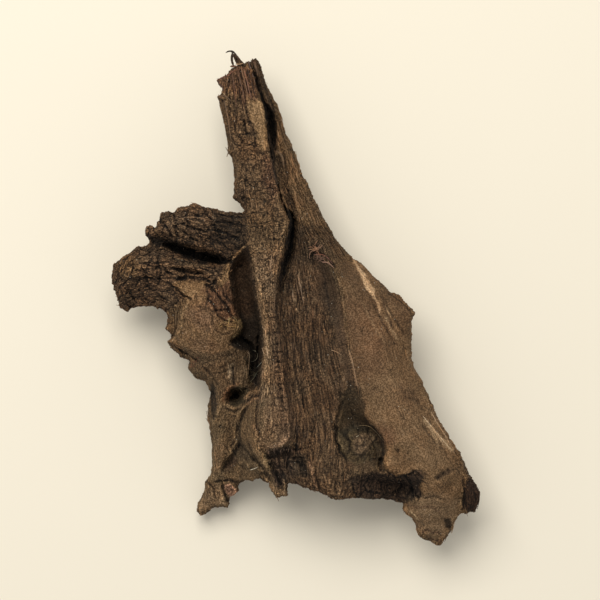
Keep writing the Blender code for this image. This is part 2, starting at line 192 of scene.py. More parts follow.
def pointsOf(obj):
    flat = np.empty(len(obj.data.vertices) * 3, np.float32)
    obj.data.vertices.foreach_get("co", flat)
    return flat.reshape(-1, 3).astype(float) / mm


def setPoints(obj, points):
    obj.data.vertices.foreach_set("co", (points * mm).astype(np.float32).ravel())
    obj.data.update()


def normalsOf(obj):
    flat = np.empty(len(obj.data.vertices) * 3, np.float32)
    obj.data.vertex_normals.foreach_get("vector", flat)
    return flat.reshape(-1, 3).astype(float)


def storeOn(obj, name, values):
    # a number, a place or a colour for each point
    columns = values.reshape(len(values), -1).shape[1]
    kind, key = {1: ("FLOAT", "value"), 3: ("FLOAT_VECTOR", "vector")}[columns]
    if name in obj.data.attributes:
        obj.data.attributes.remove(obj.data.attributes[name])
    layer = obj.data.attributes.new(name, kind, "POINT")
    layer.data.foreach_set(key, values.astype(np.float32).ravel())


def plain(obj, name):
    # the object as a plain mesh, its modifiers used up
    graph = bpy.context.evaluated_depsgraph_get()
    mesh = bpy.data.meshes.new_from_object(
        obj.evaluated_get(graph), preserve_all_data_layers=True, depsgraph=graph)
    bpy.data.objects.remove(obj)
    made = bpy.data.objects.new(name, mesh)
    scene.collection.objects.link(made)
    return made


def remeshed(obj, voxel, passes):
    even = obj.modifiers.new("even skin", "REMESH")
    even.mode = "VOXEL"
    even.voxel_size = voxel * mm
    even.use_smooth_shade = True
    soft = obj.modifiers.new("soft skin", "SMOOTH")
    soft.factor = 0.5
    soft.iterations = passes
    return plain(obj, obj.name)


def eased(values, low, high):
    # 0 below low, 1 above high, and a smooth step between
    share = np.clip((values - low) / (high - low), 0, 1)
    return share * share * (3 - 2 * share)


def lumps(points, size, seed):
    # smooth random values from 0 to 1 in lumps of that size
    cell = np.floor(points / size).astype(np.int64)
    part = points / size - cell
    part = part * part * (3 - 2 * part)
    total = np.zeros(len(points))
    for corner in np.ndindex(2, 2, 2):
        at = cell + corner
        code = at[:, 0] * 374761393 + at[:, 1] * 668265263 + at[:, 2] * 2147483629 + seed * 1274126177
        code = ((code ^ (code >> 13)) * 1103515245) & 0x7FFFFFFF
        value = ((code ^ (code >> 15)) & 0xFFFF) / 65535
        weight = np.prod(np.where(corner, part, 1 - part), axis=1)
        total += weight * value
    return total


def besidePath(points, path):
    # for each point: its distance to the path, its side (+1 on the left), its place along it from 0 to 1,
    # and the path's further columns there
    path = np.array(path, float)
    steps = np.diff(path, axis=0)
    lengths = np.hypot(steps[:, 0], steps[:, 1])
    begins = np.concatenate([[0], np.cumsum(lengths)])
    nearest = np.full(len(points), 1e9)
    side = np.zeros(len(points))
    place = np.zeros(len(points))
    more = np.zeros((len(points), path.shape[1] - 2))
    for start, step, length, begin in zip(path[:-1], steps, lengths, begins):
        off = points[:, :2] - start[:2]
        share = np.clip(off @ step[:2] / length ** 2, 0, 1)
        gap = np.hypot(*(off - share[:, None] * step[:2]).T)
        closer = gap < nearest
        nearest[closer] = gap[closer]
        side[closer] = np.sign(step[0] * off[closer, 1] - step[1] * off[closer, 0])
        place[closer] = (begin + share[closer] * length) / begins[-1]
        more[closer] = start[2:] + share[closer, None] * step[2:]
    return nearest, side, place, more


def within(points, edge, soft):
    # 1 inside the closed edge, 0 outside, eased over soft millimetres
    inside = np.zeros(len(points), bool)
    for (x0, y0), (x1, y1) in zip(edge, np.roll(edge, -1, axis=0)):
        spans = (y0 > points[:, 1]) != (y1 > points[:, 1])
        crossing = x0 + (points[:, 1] - y0) * (x1 - x0) / ((y1 - y0) or 1e-9)
        inside ^= spans & (points[:, 0] < crossing)
    gap = besidePath(points, np.vstack([edge, edge[:1]]))[0]
    return eased(np.where(inside, gap, -gap), -soft, soft)


# The body's skin

body = {
    "firstVoxel": 1.1,  # evens out the flat faces of the solid
    "firstPasses": 6,
    "fineVoxel": 0.42,
    # Asked of Decimate, which stops at 556,482 instead and so breaks the limit of 200,000 a piece: the group
    # "seen" has points of weight 1, and it seems to keep them all
    "askedTriangles": 197000,
    "backShare": 0.25,  # how much of its detail the unseen back keeps
    "thinnest": 1.6,  # wood left below a deep cut, in millimetres
    "hollowPasses": 6,  # how wide the surroundings are that a point's own hollow is measured against
    "basinPasses": 70,  # and those that a broad basin is
    "strapReach": (15, 17),  # where the strap ends across the grain
    "wallSteps": 10,  # shares of detail between the back and the front
}

# Corners drawn out and notches pushed in: where, how far, both in photo pixels, and the radius in millimetres
pulls = [
    # the torn top
    ((218, 80), (-2.5, -1), 1.2), ((221, 89), (3.5, 0), 1.5), ((221, 94), (2.5, 0), 0.8),
    ((219, 98), (-2, -2), 1.2), ((243, 64), (0, 3), 1.4), ((251, 61), (0, 8), 1.1),
    ((250, 66), (0, 4), 0.8), ((256, 61), (-1, -2), 1.6), ((248, 63), (0, -2), 0.8),
    # the strap's left edge
    ((230, 151), (-1.5, 1), 1.2), ((233, 157), (1.5, 0), 1.2), ((235, 196), (-1.5, 1), 1.5),
    ((241, 209), (3.5, 2), 1.5), ((238, 204), (2, 0), 1.2),
    # the outer strip's right edge
    ((273, 104), (1.5, 0), 1.5), ((300, 178), (-1, 1), 1.5), ((305, 184), (2, 0), 1.4),
    ((292, 150), (-1.5, 0), 1.6),
    # the upper arm's lumps
    ((155, 225), (1, 5), 1.1), ((161.5, 220), (3, 5), 1.3), ((174, 213), (0.5, 6), 1.4),
    ((148, 229), (-1.5, -1.5), 1.4), ((164, 214), (-2.5, -1), 1.7), ((195, 205), (0, -1.5), 1.6),
    ((158, 224), (0, -2), 1.0), ((168, 213), (0, -1), 1.2), ((204, 207), (0, 1.5), 1.4),
    ((179, 209), (-1.5, -1), 1.4),
    # the lower arm
    ((138, 249), (-1, -1.5), 1.2), ((134, 254), (0.5, 2), 1.2), ((113, 266), (-1, -1.5), 1.5),
    ((112, 290), (1, 0), 1.4), ((126, 308), (0.5, 3), 1.2), ((130, 305), (0, -2), 1.0),
    ((119, 306), (-1, 1.5), 1.2), ((134, 306), (0, 2), 0.8), ((157, 307), (0, 3), 0.9),
    ((151, 304), (0, -1.5), 1.4), ((162, 306), (0, -1.5), 0.9), ((168, 312), (0, 2), 0.8),
    # the lobe's left edge
    ((168, 329), (-3, 0), 1.1), ((170, 322), (2, 0), 1.0), ((170, 341), (-2.5, 1.5), 1.2),
    ((171, 335), (2, 0), 1.0), ((188, 361), (1.5, -1), 1.0), ((191, 368), (-2, 0), 1.6),
    ((197, 377), (-1, 1.5), 1.6), ((205, 379), (1.5, -1), 1.0), ((180, 356), (-1, 1.5), 1.2),
    # the legs
    ((200, 513), (0, 5), 1.6), ((212, 510), (0, -2), 1.8), ((225, 506), (1.5, 4), 1.0),
    ((206, 486), (-1.5, 0), 1.4), ((209, 494), (1.5, 0), 1.2), ((234, 492), (3, 1), 1.3),
    ((231, 500), (-1.5, -1), 1.2), ((266, 486), (3, -2), 1.6), ((284, 493), (3, 3), 1.3),
    ((285, 484), (-2, 0), 1.2), ((277, 496), (-1, 1), 1.0), ((252, 480), (0, 2), 1.4),
    ((293, 480), (0, 2.5), 1.2), ((208, 420), (-1.5, 0), 1.6), ((212, 393), (2, 0), 1.0),
    # the bottom edge, the right foot and the wing's edge
    ((398, 503), (0, 2), 1.8), ((410, 502), (1, -2), 1.2), ((404, 509), (-2, 1), 1.6),
    ((438, 545), (1.5, 3.5), 1.8), ((416, 521), (-1.5, 0), 1.2), ((416, 528), (1, 0), 1.0),
    ((452, 523), (-2, 0), 1.3), ((452, 530), (2, 0), 1.0), ((467, 479), (2, -2), 0.9),
    ((472, 486), (2.5, -1.5), 0.9), ((478, 493), (2, -1), 0.9), ((474, 511), (1, 2), 0.9),
    ((467, 512), (-1, 2), 0.9), ((470, 482), (-2, 0), 0.8), ((412, 313), (2.5, 0), 1.3),
    ((408, 322), (-2, 0), 1.5), ((432, 411), (-1.5, 0), 1.0), ((430, 406), (2, -1), 1.0),
    ((398, 297), (0, -1.5), 1.6), ((390, 293), (-1, 1.5), 1.4), ((352, 258), (0, 1.5), 1.4),
]

# Deep slots, as points of photo pixels with the width and depth there in millimetres
slots = {
    "spireSlot": [(252, 66, 1.0, 3), (256, 78, 1.8, 5), (259, 90, 2.2, 6), (262, 99, 2.0, 6),
        (267, 108, 3.0, 8), (270.5, 117, 4.4, 10), (271.5, 130, 4.8, 11), (272.5, 140, 4.8, 11),
        (272.5, 149, 3.4, 9)],
    "slitBelow": [(271, 148, 2.6, 8), (273, 156, 2.4, 8), (275, 165, 1.3, 7), (277.5, 176, 1.1, 6),
        (279.5, 190, 1.1, 6), (282, 201, 2.0, 7), (285.5, 208, 2.8, 9), (290, 216, 3.6, 10),
        (293, 225, 4.2, 10), (290.5, 236, 5.0, 10), (289, 250, 5.0, 9), (286, 262, 4.0, 6),
        (283, 276, 2.8, 3), (280, 292, 2.0, 1.5)],
    "armGap": [(164, 245, 1.4, 3), (174, 247.5, 3.6, 6), (186, 251.5, 5.6, 9), (198, 255.5, 6.6, 10),
        (211, 258, 6.0, 10), (221, 260, 4.0, 8), (230, 262, 2.0, 3)],
    "creviceSide": [(252, 262, 1.6, 3), (254, 280, 2.2, 4), (258, 300, 2.4, 5), (261, 325, 2.8, 6),
        (260, 350, 3.4, 7), (258, 370, 3.0, 6), (257, 384, 1.6, 3)],
    "undercut": [(234, 341, 3.0, 4), (240, 341, 4.2, 5), (247, 346, 4.6, 5), (252, 356, 4.6, 5),
        (253, 368, 4.0, 4)],
    "bowlMoat": [(342, 402, 1.6, 0.8), (336, 424, 1.8, 2.0), (336, 440, 1.8, 2.6), (340, 451, 1.6, 1.8),
        (346, 459, 1.2, 0.8)],
    "cavityRoof": [(362, 483, 3.0, 0.8), (376, 485, 5.0, 1.2), (392, 487, 6.0, 1.6), (407, 486, 7.0, 2.6),
        (416, 487, 5.0, 3.2), (419, 495, 3.4, 2.8)],
    "lipHole": [(381, 461, 3.0, 4), (382, 468, 3.2, 4)],
    "splinters": [(269, 452, 2.2, 1.8), (272, 462, 1.6, 2.2), (275, 474, 1.2, 1.6), (279, 484, 0.8, 1.0)],
    "splintersRight": [(278, 451, 0.9, 1.6), (279, 462, 1.0, 1.8), (282, 475, 0.9, 1.2)],
    "splintersEnd": [(286, 448, 0.9, 1.4), (286, 460, 1.0, 1.6), (289, 474, 0.9, 1.2)],
    "underStrapEnd": [(270, 456, 4.0, 3.0), (279, 454, 5.0, 4.0), (290, 453, 4.0, 3.0),
        (297, 452, 2.0, 1.0)],
    "belowStrapEnd": [(272, 464, 3.0, 2.4), (276, 474, 2.0, 2.0), (281, 484, 1.2, 1.4)],
    "mossyHollow": [(296, 458, 3.0, 1.6), (303, 464, 4.4, 2.2), (304, 474, 3.4, 1.4)],
    "legRecess": [(223, 468, 2.4, 1.4), (228, 463, 3.4, 2.2), (232, 457, 2.4, 1.6)],
    "knothole": [(229, 400, 2.6, 3), (235, 397, 4.4, 7), (241, 393, 3.8, 6), (246, 390, 2.0, 3)],
    "toeGap": [(221, 483, 1.2, 1.2), (221, 489, 1.4, 1.8), (224, 497, 1.4, 1.8), (227, 504, 1.2, 1.4)],
}

# Cuts, ridges and scarps: width and depth in millimetres, and the path in photo pixels.
# A scarp is high on the right of its path and low on the left.
strokes = {
    "grooves": [
        # cracks along the strap's torn top
        (0.8, 1.1, [(233, 79), (234, 95), (234, 108), (236, 119), (235, 131)]),
        (0.8, 1.0, [(240, 71), (243, 85), (245, 97), (246, 110), (248, 119), (252, 127)]),
        (0.8, 0.9, [(237, 72), (239, 86), (240, 98)]),
        (0.8, 0.9, [(246, 70), (249, 82), (251, 95), (252, 110)]),
        (0.8, 1.0, [(220, 98), (226, 106), (230, 109), (235, 112)]),
        (0.7, 0.8, [(227, 112), (231, 120), (232, 131)]),
        (1.3, 2.2, [(244, 121), (245, 127), (247, 134)]),
        (0.7, 0.9, [(230, 134), (240, 135), (252, 133), (257, 136)]),
        (0.7, 1.0, [(232, 137), (235, 144), (240, 146), (243, 141), (240, 137)]),
        (0.7, 0.8, [(243, 143), (250, 145), (256, 143)]),
        (0.7, 0.8, [(226, 95), (228, 84), (230, 77)]),
        # cross checks of the strap
        (0.7, 0.7, [(235, 152), (250, 150), (262, 154), (270, 153)]),
        (0.6, 0.5, [(238, 166), (246, 164), (256, 167), (264, 165)]),
        (0.6, 0.6, [(236, 180), (243, 177), (247, 181), (252, 178), (262, 181), (268, 178)]),
        (0.6, 0.6, [(246, 176), (245, 184), (250, 187), (253, 182)]),
        (0.6, 0.6, [(256, 187), (266, 189), (274, 187)]),
        (0.7, 0.7, [(236, 199), (244, 197), (250, 200), (258, 198), (266, 202), (276, 199)]),
        (0.6, 0.5, [(250, 214), (258, 212), (262, 216), (270, 214)]),
        (0.6, 0.5, [(262, 160), (261, 172)]),
        (0.6, 0.5, [(270, 165), (271, 180), (270, 190)]),
        (0.6, 0.6, [(255, 208), (257, 220), (254, 232)]),
        (0.6, 0.6, [(263, 215), (262, 228), (265, 240)]),
        (0.6, 0.6, [(271, 208), (274, 222), (272, 236)]),
        (0.7, 0.8, [(268, 258), (279, 256)]),
        (0.7, 0.7, [(262, 284), (272, 283), (278, 285)]),
        (0.7, 0.9, [(268, 303), (277, 303)]),
        (0.7, 0.9, [(270, 318), (279, 317)]),
        (0.7, 1.0, [(273, 333), (282, 332)]),
        (0.7, 1.0, [(273, 344), (283, 343)]),
        (0.7, 1.1, [(275, 352), (284, 351)]),
        (0.7, 1.1, [(274, 362), (285, 361)]),
        (0.7, 1.0, [(276, 372), (286, 371)]),
        (0.7, 1.0, [(277, 384), (287, 383)]),
        (0.7, 0.9, [(276, 397), (287, 396)]),
        (0.7, 0.9, [(278, 411), (289, 409)]),
        (0.7, 0.8, [(276, 425), (292, 423)]),
        (0.9, 0.9, [(276, 300), (277, 330), (278, 360), (281, 390), (284, 415)]),
        # below the strap's broken end
        (0.9, 1.4, [(296, 428), (297, 440), (296, 452)]),
        (0.8, 1.1, [(284, 449), (296, 450), (306, 448)]),
        (0.8, 1.1, [(284, 457), (294, 458), (306, 457)]),
        (0.9, 1.2, [(256, 455), (262, 467), (272, 482)]),
        # the fibre face
        (0.9, 0.9, [(310, 440), (314, 462), (320, 494)]),
        (0.8, 0.4, [(302, 268), (306, 300), (309, 340), (313, 390), (320, 440)]),
        (0.8, 0.35, [(290, 268), (293, 300), (296, 340), (302, 390), (306, 430)]),
        (0.8, 0.35, [(316, 300), (321, 350), (329, 400), (333, 430)]),
        (0.7, 0.3, [(296, 300), (300, 350), (305, 400)]),
        (0.8, 0.3, [(312, 310), (316, 360), (322, 410)]),
        (7.0, 1.3, [(321, 264), (326, 285), (329, 310)]),
        # the outer strip
        (0.9, 1.0, [(264, 84), (272, 104), (279, 122), (284, 138), (290, 154)]),
        (0.8, 1.0, [(283, 152), (285, 165), (288, 180)]),
        (0.9, 1.2, [(286, 188), (291, 198), (294, 206)]),
        (0.8, 0.8, [(292, 170), (300, 195), (308, 215), (318, 236)]),
        # round the knot's torn fibres
        (1.2, 1.8, [(309, 259), (314, 253), (322, 254), (330, 260), (335, 267)]),
        # the bowl, its knob and the cavity
        (0.7, 0.8, [(355, 462), (363, 455), (370, 448), (378, 436)]),
        (0.7, 0.8, [(344, 434), (350, 442), (349, 450), (346, 457)]),
        (0.7, 0.8, [(352, 432), (358, 440), (357, 447), (353, 454)]),
        (0.7, 0.7, [(362, 430), (366, 438), (363, 446)]),
        (0.7, 0.6, [(347, 447), (355, 446), (364, 445)]),
        (0.7, 0.6, [(348, 438), (356, 436), (366, 438)]),
        (0.9, 1.8, [(406, 476), (412, 486), (414, 499)]),
        (0.9, 1.0, [(352, 482), (354, 492), (360, 500)]),
        (0.8, 1.0, [(366, 490), (384, 494), (400, 492)]),
        # the wing
        (1.4, 0.7, [(383, 298), (392, 314), (404, 334)]),
        (0.8, 1.0, [(388, 293), (398, 299), (409, 310)]),
        (1.2, 0.6, [(364, 288), (370, 297), (378, 315), (386, 328), (394, 344)]),
        (1.0, 0.8, [(421, 424), (430, 436), (441, 449)]),
        (0.9, 0.7, [(438, 440), (448, 458), (456, 470)]),
        (1.2, 1.4, [(463, 478), (465, 492), (463, 508)]),
        (1.2, 0.9, [(424, 498), (434, 496), (446, 500)]),
        (1.4, 0.6, [(404, 396), (416, 400), (424, 412)]),
        # the upper arm
        (1.3, 2.4, [(173, 214), (176, 222), (176, 230), (179, 238)]),
        (1.2, 2.2, [(155, 224), (154, 230), (158, 236)]),
        (1.2, 2.2, [(161, 221), (166, 226), (170, 233), (172, 239)]),
        (1.0, 1.5, [(176, 220), (183, 224), (189, 227), (200, 230), (206, 232), (213, 229)]),
        (0.9, 1.3, [(188, 209), (186, 219), (191, 226)]),
        (0.8, 1.2, [(176, 228), (184, 231), (190, 238), (204, 244)]),
        (0.8, 1.2, [(204, 210), (210, 218), (216, 228), (222, 240)]),
        (1.0, 1.5, [(214, 214), (228, 216), (244, 218)]),
        (0.9, 1.4, [(216, 221), (230, 223), (244, 226)]),
        (1.0, 1.5, [(212, 230), (226, 233), (240, 240)]),
        (0.8, 1.2, [(206, 240), (214, 236), (222, 246)]),
        (0.8, 1.0, [(194, 214), (202, 216), (208, 213)]),
        (0.8, 1.0, [(196, 239), (199, 246)]),
        # the lower arm
        (1.8, 3.0, [(170, 268), (180, 270), (190, 272), (205, 274)]),
        (1.0, 1.6, [(172, 258), (186, 262), (208, 264)]),
        (1.1, 1.8, [(176, 279), (190, 277), (203, 278), (213, 284)]),
        (0.9, 1.4, [(140, 262), (152, 266), (162, 268), (172, 275)]),
        (0.8, 1.3, [(138, 281), (146, 277), (156, 280), (166, 278), (176, 279)]),
        (0.9, 1.3, [(146, 286), (157, 293), (167, 300)]),
        (0.8, 1.1, [(120, 278), (130, 290), (134, 302)]),
        (0.8, 1.1, [(128, 262), (136, 270), (146, 272)]),
        (0.9, 1.2, [(160, 250), (158, 262), (162, 272), (158, 284)]),
        (1.4, 2.6, [(205, 284), (212, 288), (216, 279)]),
        (0.8, 1.1, [(120, 296), (130, 298), (142, 296), (150, 302)]),
        (0.8, 1.1, [(150, 250), (150, 262), (146, 272), (148, 284)]),
        (0.8, 1.0, [(132, 256), (134, 268), (130, 280)]),
        # the lobe
        (1.0, 2.4, [(174, 286), (179, 291), (185, 296), (191, 299)]),
        (0.8, 0.9, [(206, 285), (209, 296), (206, 307), (213, 312)]),
        (1.1, 1.8, [(211, 287), (218, 296), (226, 304), (231, 315), (236, 320)]),
        (1.0, 1.5, [(207, 298), (214, 305), (218, 315), (225, 321), (233, 322)]),
        (1.0, 1.4, [(221, 284), (225, 296), (233, 303)]),
        (0.9, 1.2, [(212, 311), (221, 310), (229, 309)]),
        (0.8, 1.0, [(181, 304), (177, 316), (176, 328), (171, 338)]),
        (0.7, 0.7, [(196, 312), (205, 309), (213, 316), (212, 324), (202, 326), (196, 320)]),
        (0.8, 0.9, [(216, 330), (222, 334), (230, 333)]),
        (0.8, 0.7, [(196, 292), (198, 306), (203, 308)]),
        (1.6, 2.6, [(173, 345), (180, 350), (190, 356), (198, 361)]),
        (0.7, 0.8, [(212, 373), (222, 373), (232, 368)]),
        (0.7, 0.8, [(224, 376), (227, 384), (233, 384)]),
        (0.7, 0.4, [(200, 364), (214, 360), (232, 361)]),
        # the leg and its foot
        (3.0, 2.4, [(212, 382), (211, 396), (212, 410), (214, 420)]),
        (1.8, 1.8, [(262, 388), (258, 400), (256, 413), (257, 426), (261, 437)]),
        (2.6, 2.8, [(248, 442), (254, 456), (262, 469), (272, 484)]),
        (2.6, 1.8, [(238, 444), (247, 452), (255, 462)]),
        (1.6, 1.4, [(249, 404), (242, 416), (239, 430), (240, 442), (235, 454)]),
        (2.4, 1.6, [(222, 474), (225, 464), (231, 455)]),
        (1.0, 1.6, [(233, 366), (233, 376), (234, 385)]),
        (1.6, 1.2, [(226, 408), (234, 412), (241, 409)]),
        (1.4, 1.2, [(204, 368), (212, 376), (218, 386)]),
        (1.1, 1.4, [(213, 393), (216, 405), (213, 420)]),
        (1.0, 1.4, [(237, 424), (236, 438), (231, 447), (236, 458)]),
        (0.9, 1.2, [(213, 484), (221, 483), (229, 481), (236, 484)]),
        (0.8, 0.8, [(245, 400), (238, 415), (236, 428)]),
        (0.9, 1.2, [(206, 483), (213, 491), (214, 499)]),
        (0.8, 0.8, [(236, 462), (243, 470), (241, 478)]),
        (0.8, 1.2, [(247, 401), (252, 396), (259, 395)]),
    ],
    "ridges": [
        (2.4, 1.8, [(249, 245), (239, 254), (232, 263), (228, 274), (230, 290)]),
        (1.4, 0.5, [(258, 298), (263, 325), (266, 350), (266, 380), (262, 405)]),
        (1.0, 0.6, [(190, 298), (186, 306), (182, 314), (182, 323), (180, 331), (172, 340)]),
        (2.0, 1.6, [(245, 405), (238, 415), (235, 430), (235, 442), (231, 452), (227, 462)]),
        (2.2, 1.5, [(221, 392), (219, 405), (216, 418), (212, 430)]),
        (1.8, 1.2, [(238, 466), (243, 461), (249, 469)]),
        (1.8, 1.0, [(252, 426), (257, 431), (254, 437)]),
        (1.6, 0.8, [(228, 364), (231, 372), (229, 380)]),
        (1.6, 0.8, [(224, 396), (228, 389), (236, 385), (243, 387)]),
        (1.0, 0.6, [(332, 262), (338, 278), (342, 300), (345, 330)]),
        (1.2, 0.8, [(309, 464), (312, 476), (318, 490)]),
        (1.2, 0.5, [(384, 303), (391, 318), (400, 334)]),
        (2.6, 1.6, [(256, 446), (261, 458), (268, 471), (276, 486)]),
        (1.2, 0.6, [(255, 404), (254, 420), (252, 436)]),
        (1.4, 0.8, [(245, 399), (249, 393), (256, 391)]),
        (1.4, 0.8, [(248, 404), (254, 399), (259, 398)]),
        (1.2, 0.6, [(176, 259), (190, 263), (206, 266)]),
        (1.0, 1.0, [(224, 488), (230, 486), (236, 493), (230, 499), (226, 494), (224, 488)]),
        (2.6, 1.2, [(217, 486), (221, 492), (221, 500), (219, 507)]),
        (2.2, 0.8, [(206, 487), (209, 496), (204, 505)]),
        (2.0, 0.8, [(240, 462), (246, 466), (252, 474)]),
        (1.6, 0.7, [(236, 478), (238, 468), (243, 462)]),
        (2.2, 0.8, [(206, 318), (212, 330), (207, 342)]),
        (2.0, 0.7, [(190, 322), (196, 334), (190, 344)]),
        (2.4, 0.8, [(240, 356), (228, 361), (214, 366)]),
    ],
    "scarps": [
        # strap edges
        (2.0, 2.4, [(284, 210), (289.5, 223), (286, 233), (285, 246), (281, 258), (278, 276), (276, 300)]),
        (2.2, 1.5, [(276, 302), (277, 325), (281, 345), (284, 370), (287, 395), (290, 412)]),
        (1.6, 1.6, [(246, 68), (250, 78), (254, 90), (260, 98), (265, 108), (267, 130), (270, 152),
            (274, 172), (279, 192), (284, 207)]),
        (2.0, 2.2, [(286, 410), (291, 424), (290, 438), (283, 447), (272, 449), (264, 445)]),
        (2.0, 2.0, [(256, 404), (262, 385), (264, 350), (264, 328), (257, 295), (253, 272), (249, 246)]),
        # the broken layer beside the pale patch, whose left side stands higher
        (1.4, 1.0, [(246, 93), (248, 106), (251, 120), (256, 130), (257, 139), (261, 151)]),
        (1.0, 0.8, [(260, 95), (257, 100), (251, 101), (248, 93)]),
        # lips of the crevice, the lobe and the bowl
        (1.6, 2.0, [(230, 262), (231, 281), (234, 296), (237, 308), (240, 319), (240, 329), (236, 334),
            (230, 337)]),
        (1.4, 1.6, [(230, 346), (240, 349), (248, 352), (247, 366), (249, 378)]),
        (1.2, 1.8, [(195, 301), (190, 298), (184, 294), (178, 288), (175, 283), (181, 280)]),
        (2.0, 2.6, [(424, 480), (418, 472), (404, 474), (396, 476), (388, 470), (384, 459), (387, 449),
            (384, 440), (376, 430), (365, 421)]),
        (1.4, 1.8, [(226, 259), (213, 252), (200, 248), (180, 243), (164, 239), (148, 234)]),
        (1.2, 0.9, [(344, 318), (341, 300), (338, 282), (331, 264)]),
        (1.2, 1.4, [(275, 151), (282, 151)]),
        (1.2, 1.2, [(250, 404), (245, 392), (232, 386), (224, 394)]),
    ],
}

# Round hollows: radius and depth in millimetres, and the centre in photo pixels
pits = [
    (1.5, 1.8, (398, 450)), (1.0, 0.9, (397, 455)), (1.1, 0.7, (405, 392)), (1.4, 0.7, (424, 406)),
    (1.0, 0.7, (413, 394)), (1.0, 0.8, (408, 452)), (0.8, 1.0, (428, 531)), (0.7, 1.0, (434, 534)),
    (0.7, 0.9, (440, 533)), (0.7, 0.9, (431, 538)), (0.7, 0.8, (424, 534)), (0.7, 0.8, (438, 539)),
    (0.6, 0.8, (421, 529)), (1.4, 1.4, (225, 328)), (1.7, 2.4, (239, 266)), (1.0, 1.0, (452, 485)),
    (0.9, 0.8, (448, 489)), (0.8, 0.7, (456, 499)), (1.4, 1.8, (342, 298)), (0.8, 0.7, (181, 284)),
    (0.9, 1.4, (220, 427)), (1.2, 0.8, (350, 383)), (1.2, 1.0, (248, 412)), (0.9, 0.9, (266, 318)),
    (0.7, 0.9, (268, 334)), (0.8, 0.8, (270, 405)), (0.8, 0.9, (264, 289)), (0.8, 0.8, (259, 290)),
    (0.9, 0.8, (196, 344)), (1.3, 1.6, (438, 477)), (1.5, 2.0, (443, 474)), (1.4, 1.8, (448, 470)),
    (1.0, 0.9, (453, 470)), (1.8, 2.4, (447, 522)), (1.7, 2.4, (449, 528)), (1.2, 1.2, (443, 519)),
    (2.2, 0.7, (375, 388)), (2.6, 0.6, (392, 396)), (2.0, 0.6, (378, 404)), (2.0, 0.6, (401, 384)),
    (2.4, 0.6, (416, 424)), (1.8, 0.5, (432, 500)), (1.6, 0.6, (440, 506)), (1.6, 0.5, (428, 508)),
    (2.2, 1.0, (239, 450)), (1.6, 0.8, (254, 460)), (1.4, 0.7, (230, 474)), (1.6, 0.6, (208, 330)),
    (2.2, 0.6, (199, 322)), (1.8, 0.6, (215, 344)), (1.3, 0.8, (183, 321)), (1.2, 0.6, (245, 434)),
    (0.6, 0.9, (426, 531)),
    (0.6, 0.9, (431, 535)),
    (0.6, 0.9, (436, 531)),
    (0.6, 0.9, (441, 536)),
    (0.6, 0.9, (433, 540)),
    (0.6, 0.9, (428, 538)),
    (0.6, 0.9, (438, 542)),
    (0.6, 0.9, (424, 526)),
]


def undersideOf(obj):
    # a function that gives the height of the wood's underside below a point
    graph = bpy.context.evaluated_depsgraph_get()
    tree = BVHTree.FromObject(obj, graph)
    lowest, highest = (np.array(corner) / mm for corner in cadBox)
    x = np.arange(lowest[0], highest[0] + 2, 2.0)
    y = np.arange(lowest[1], highest[1] + 2, 2.0)
    heights = np.zeros((len(x), len(y)))
    for i, j in np.ndindex(heights.shape):
        hit = tree.ray_cast((x[i] * mm, y[j] * mm, -0.01), (0, 0, 1))[0]
        heights[i, j] = hit.z / mm if hit else 0.0

    def at(points):
        row = np.clip((points[:, 0] - x[0]) / 2, 0, len(x) - 1.001)
        column = np.clip((points[:, 1] - y[0]) / 2, 0, len(y) - 1.001)
        i, j = row.astype(int), column.astype(int)
        corners = [heights[i, j], heights[i + 1, j], heights[i, j + 1], heights[i + 1, j + 1]]
        return np.max(corners, axis=0)

    return at


def carved(points, normals, underside):
    # the corners drawn out, then the slots, strokes and pits cut straight down into the face that looks up
    scale = photo["mmPerPixel"] * np.array([1, -1])
    points = points.copy()
    for centre, shift, radius in pulls:
        gap = np.hypot(*(points[:, :2] - fromPhoto(centre)).T)
        points[:, :2] += np.exp(-(gap / radius) ** 2)[:, None] * (shift * scale)
    facing = eased(normals[:, 2], 0.05, 0.45)
    shaken = points[:, :2] + np.column_stack([lumps(points, 1.8, 3), lumps(points, 1.8, 4)]) * 0.8 - 0.4
    lift = np.zeros(len(points))

    def near(path, margin):
        # the upper points within the margin of the path's box
        low, high = path[:, :2].min(axis=0) - margin, path[:, :2].max(axis=0) + margin
        return np.nonzero(((shaken > low) & (shaken < high)).all(axis=1) & (facing > 0))[0]

    for cut in slots.values():
        path = np.array(cut, float)
        path[:, :2] = fromPhoto(path[:, :2])
        chosen = near(path, path[:, 2].max())
        gap, side, place, (width, depth) = (part.T for part in besidePath(shaken[chosen], path))
        lift[chosen] = np.minimum(lift[chosen], -np.exp(-(gap / width * 2) ** 4) * depth * facing[chosen])
    for kind, cuts in strokes.items():
        for width, depth, path in cuts:
            path = fromPhoto(path)
            chosen = near(path, 3 * width)
            gap, side, place, _ = besidePath(shaken[chosen], path)
            ends = eased(1 - np.abs(2 * place - 1), 0, 0.2) * 0.7 + 0.3
            if kind == "scarps":
                change = np.tanh(-side * gap / 0.3) * np.exp(-gap / width) * depth / 2
            else:
                change = np.exp(-(gap / width * 2) ** 2) * depth * (1 if kind == "ridges" else -1)
            lift[chosen] += change * ends * facing[chosen]
    for radius, depth, centre in pits:
        gap = np.hypot(*(shaken - fromPhoto(centre)).T)
        lift -= np.exp(-(gap / radius) ** 2) * depth * facing
    deepest = np.minimum(underside(points) + body["thinnest"] - points[:, 2], 0)
    lift = np.where(facing > 0, np.maximum(lift, deepest), 0)
    return points + lift[:, None] * (0, 0, 1)


# Grain: places measured across and along the fibres

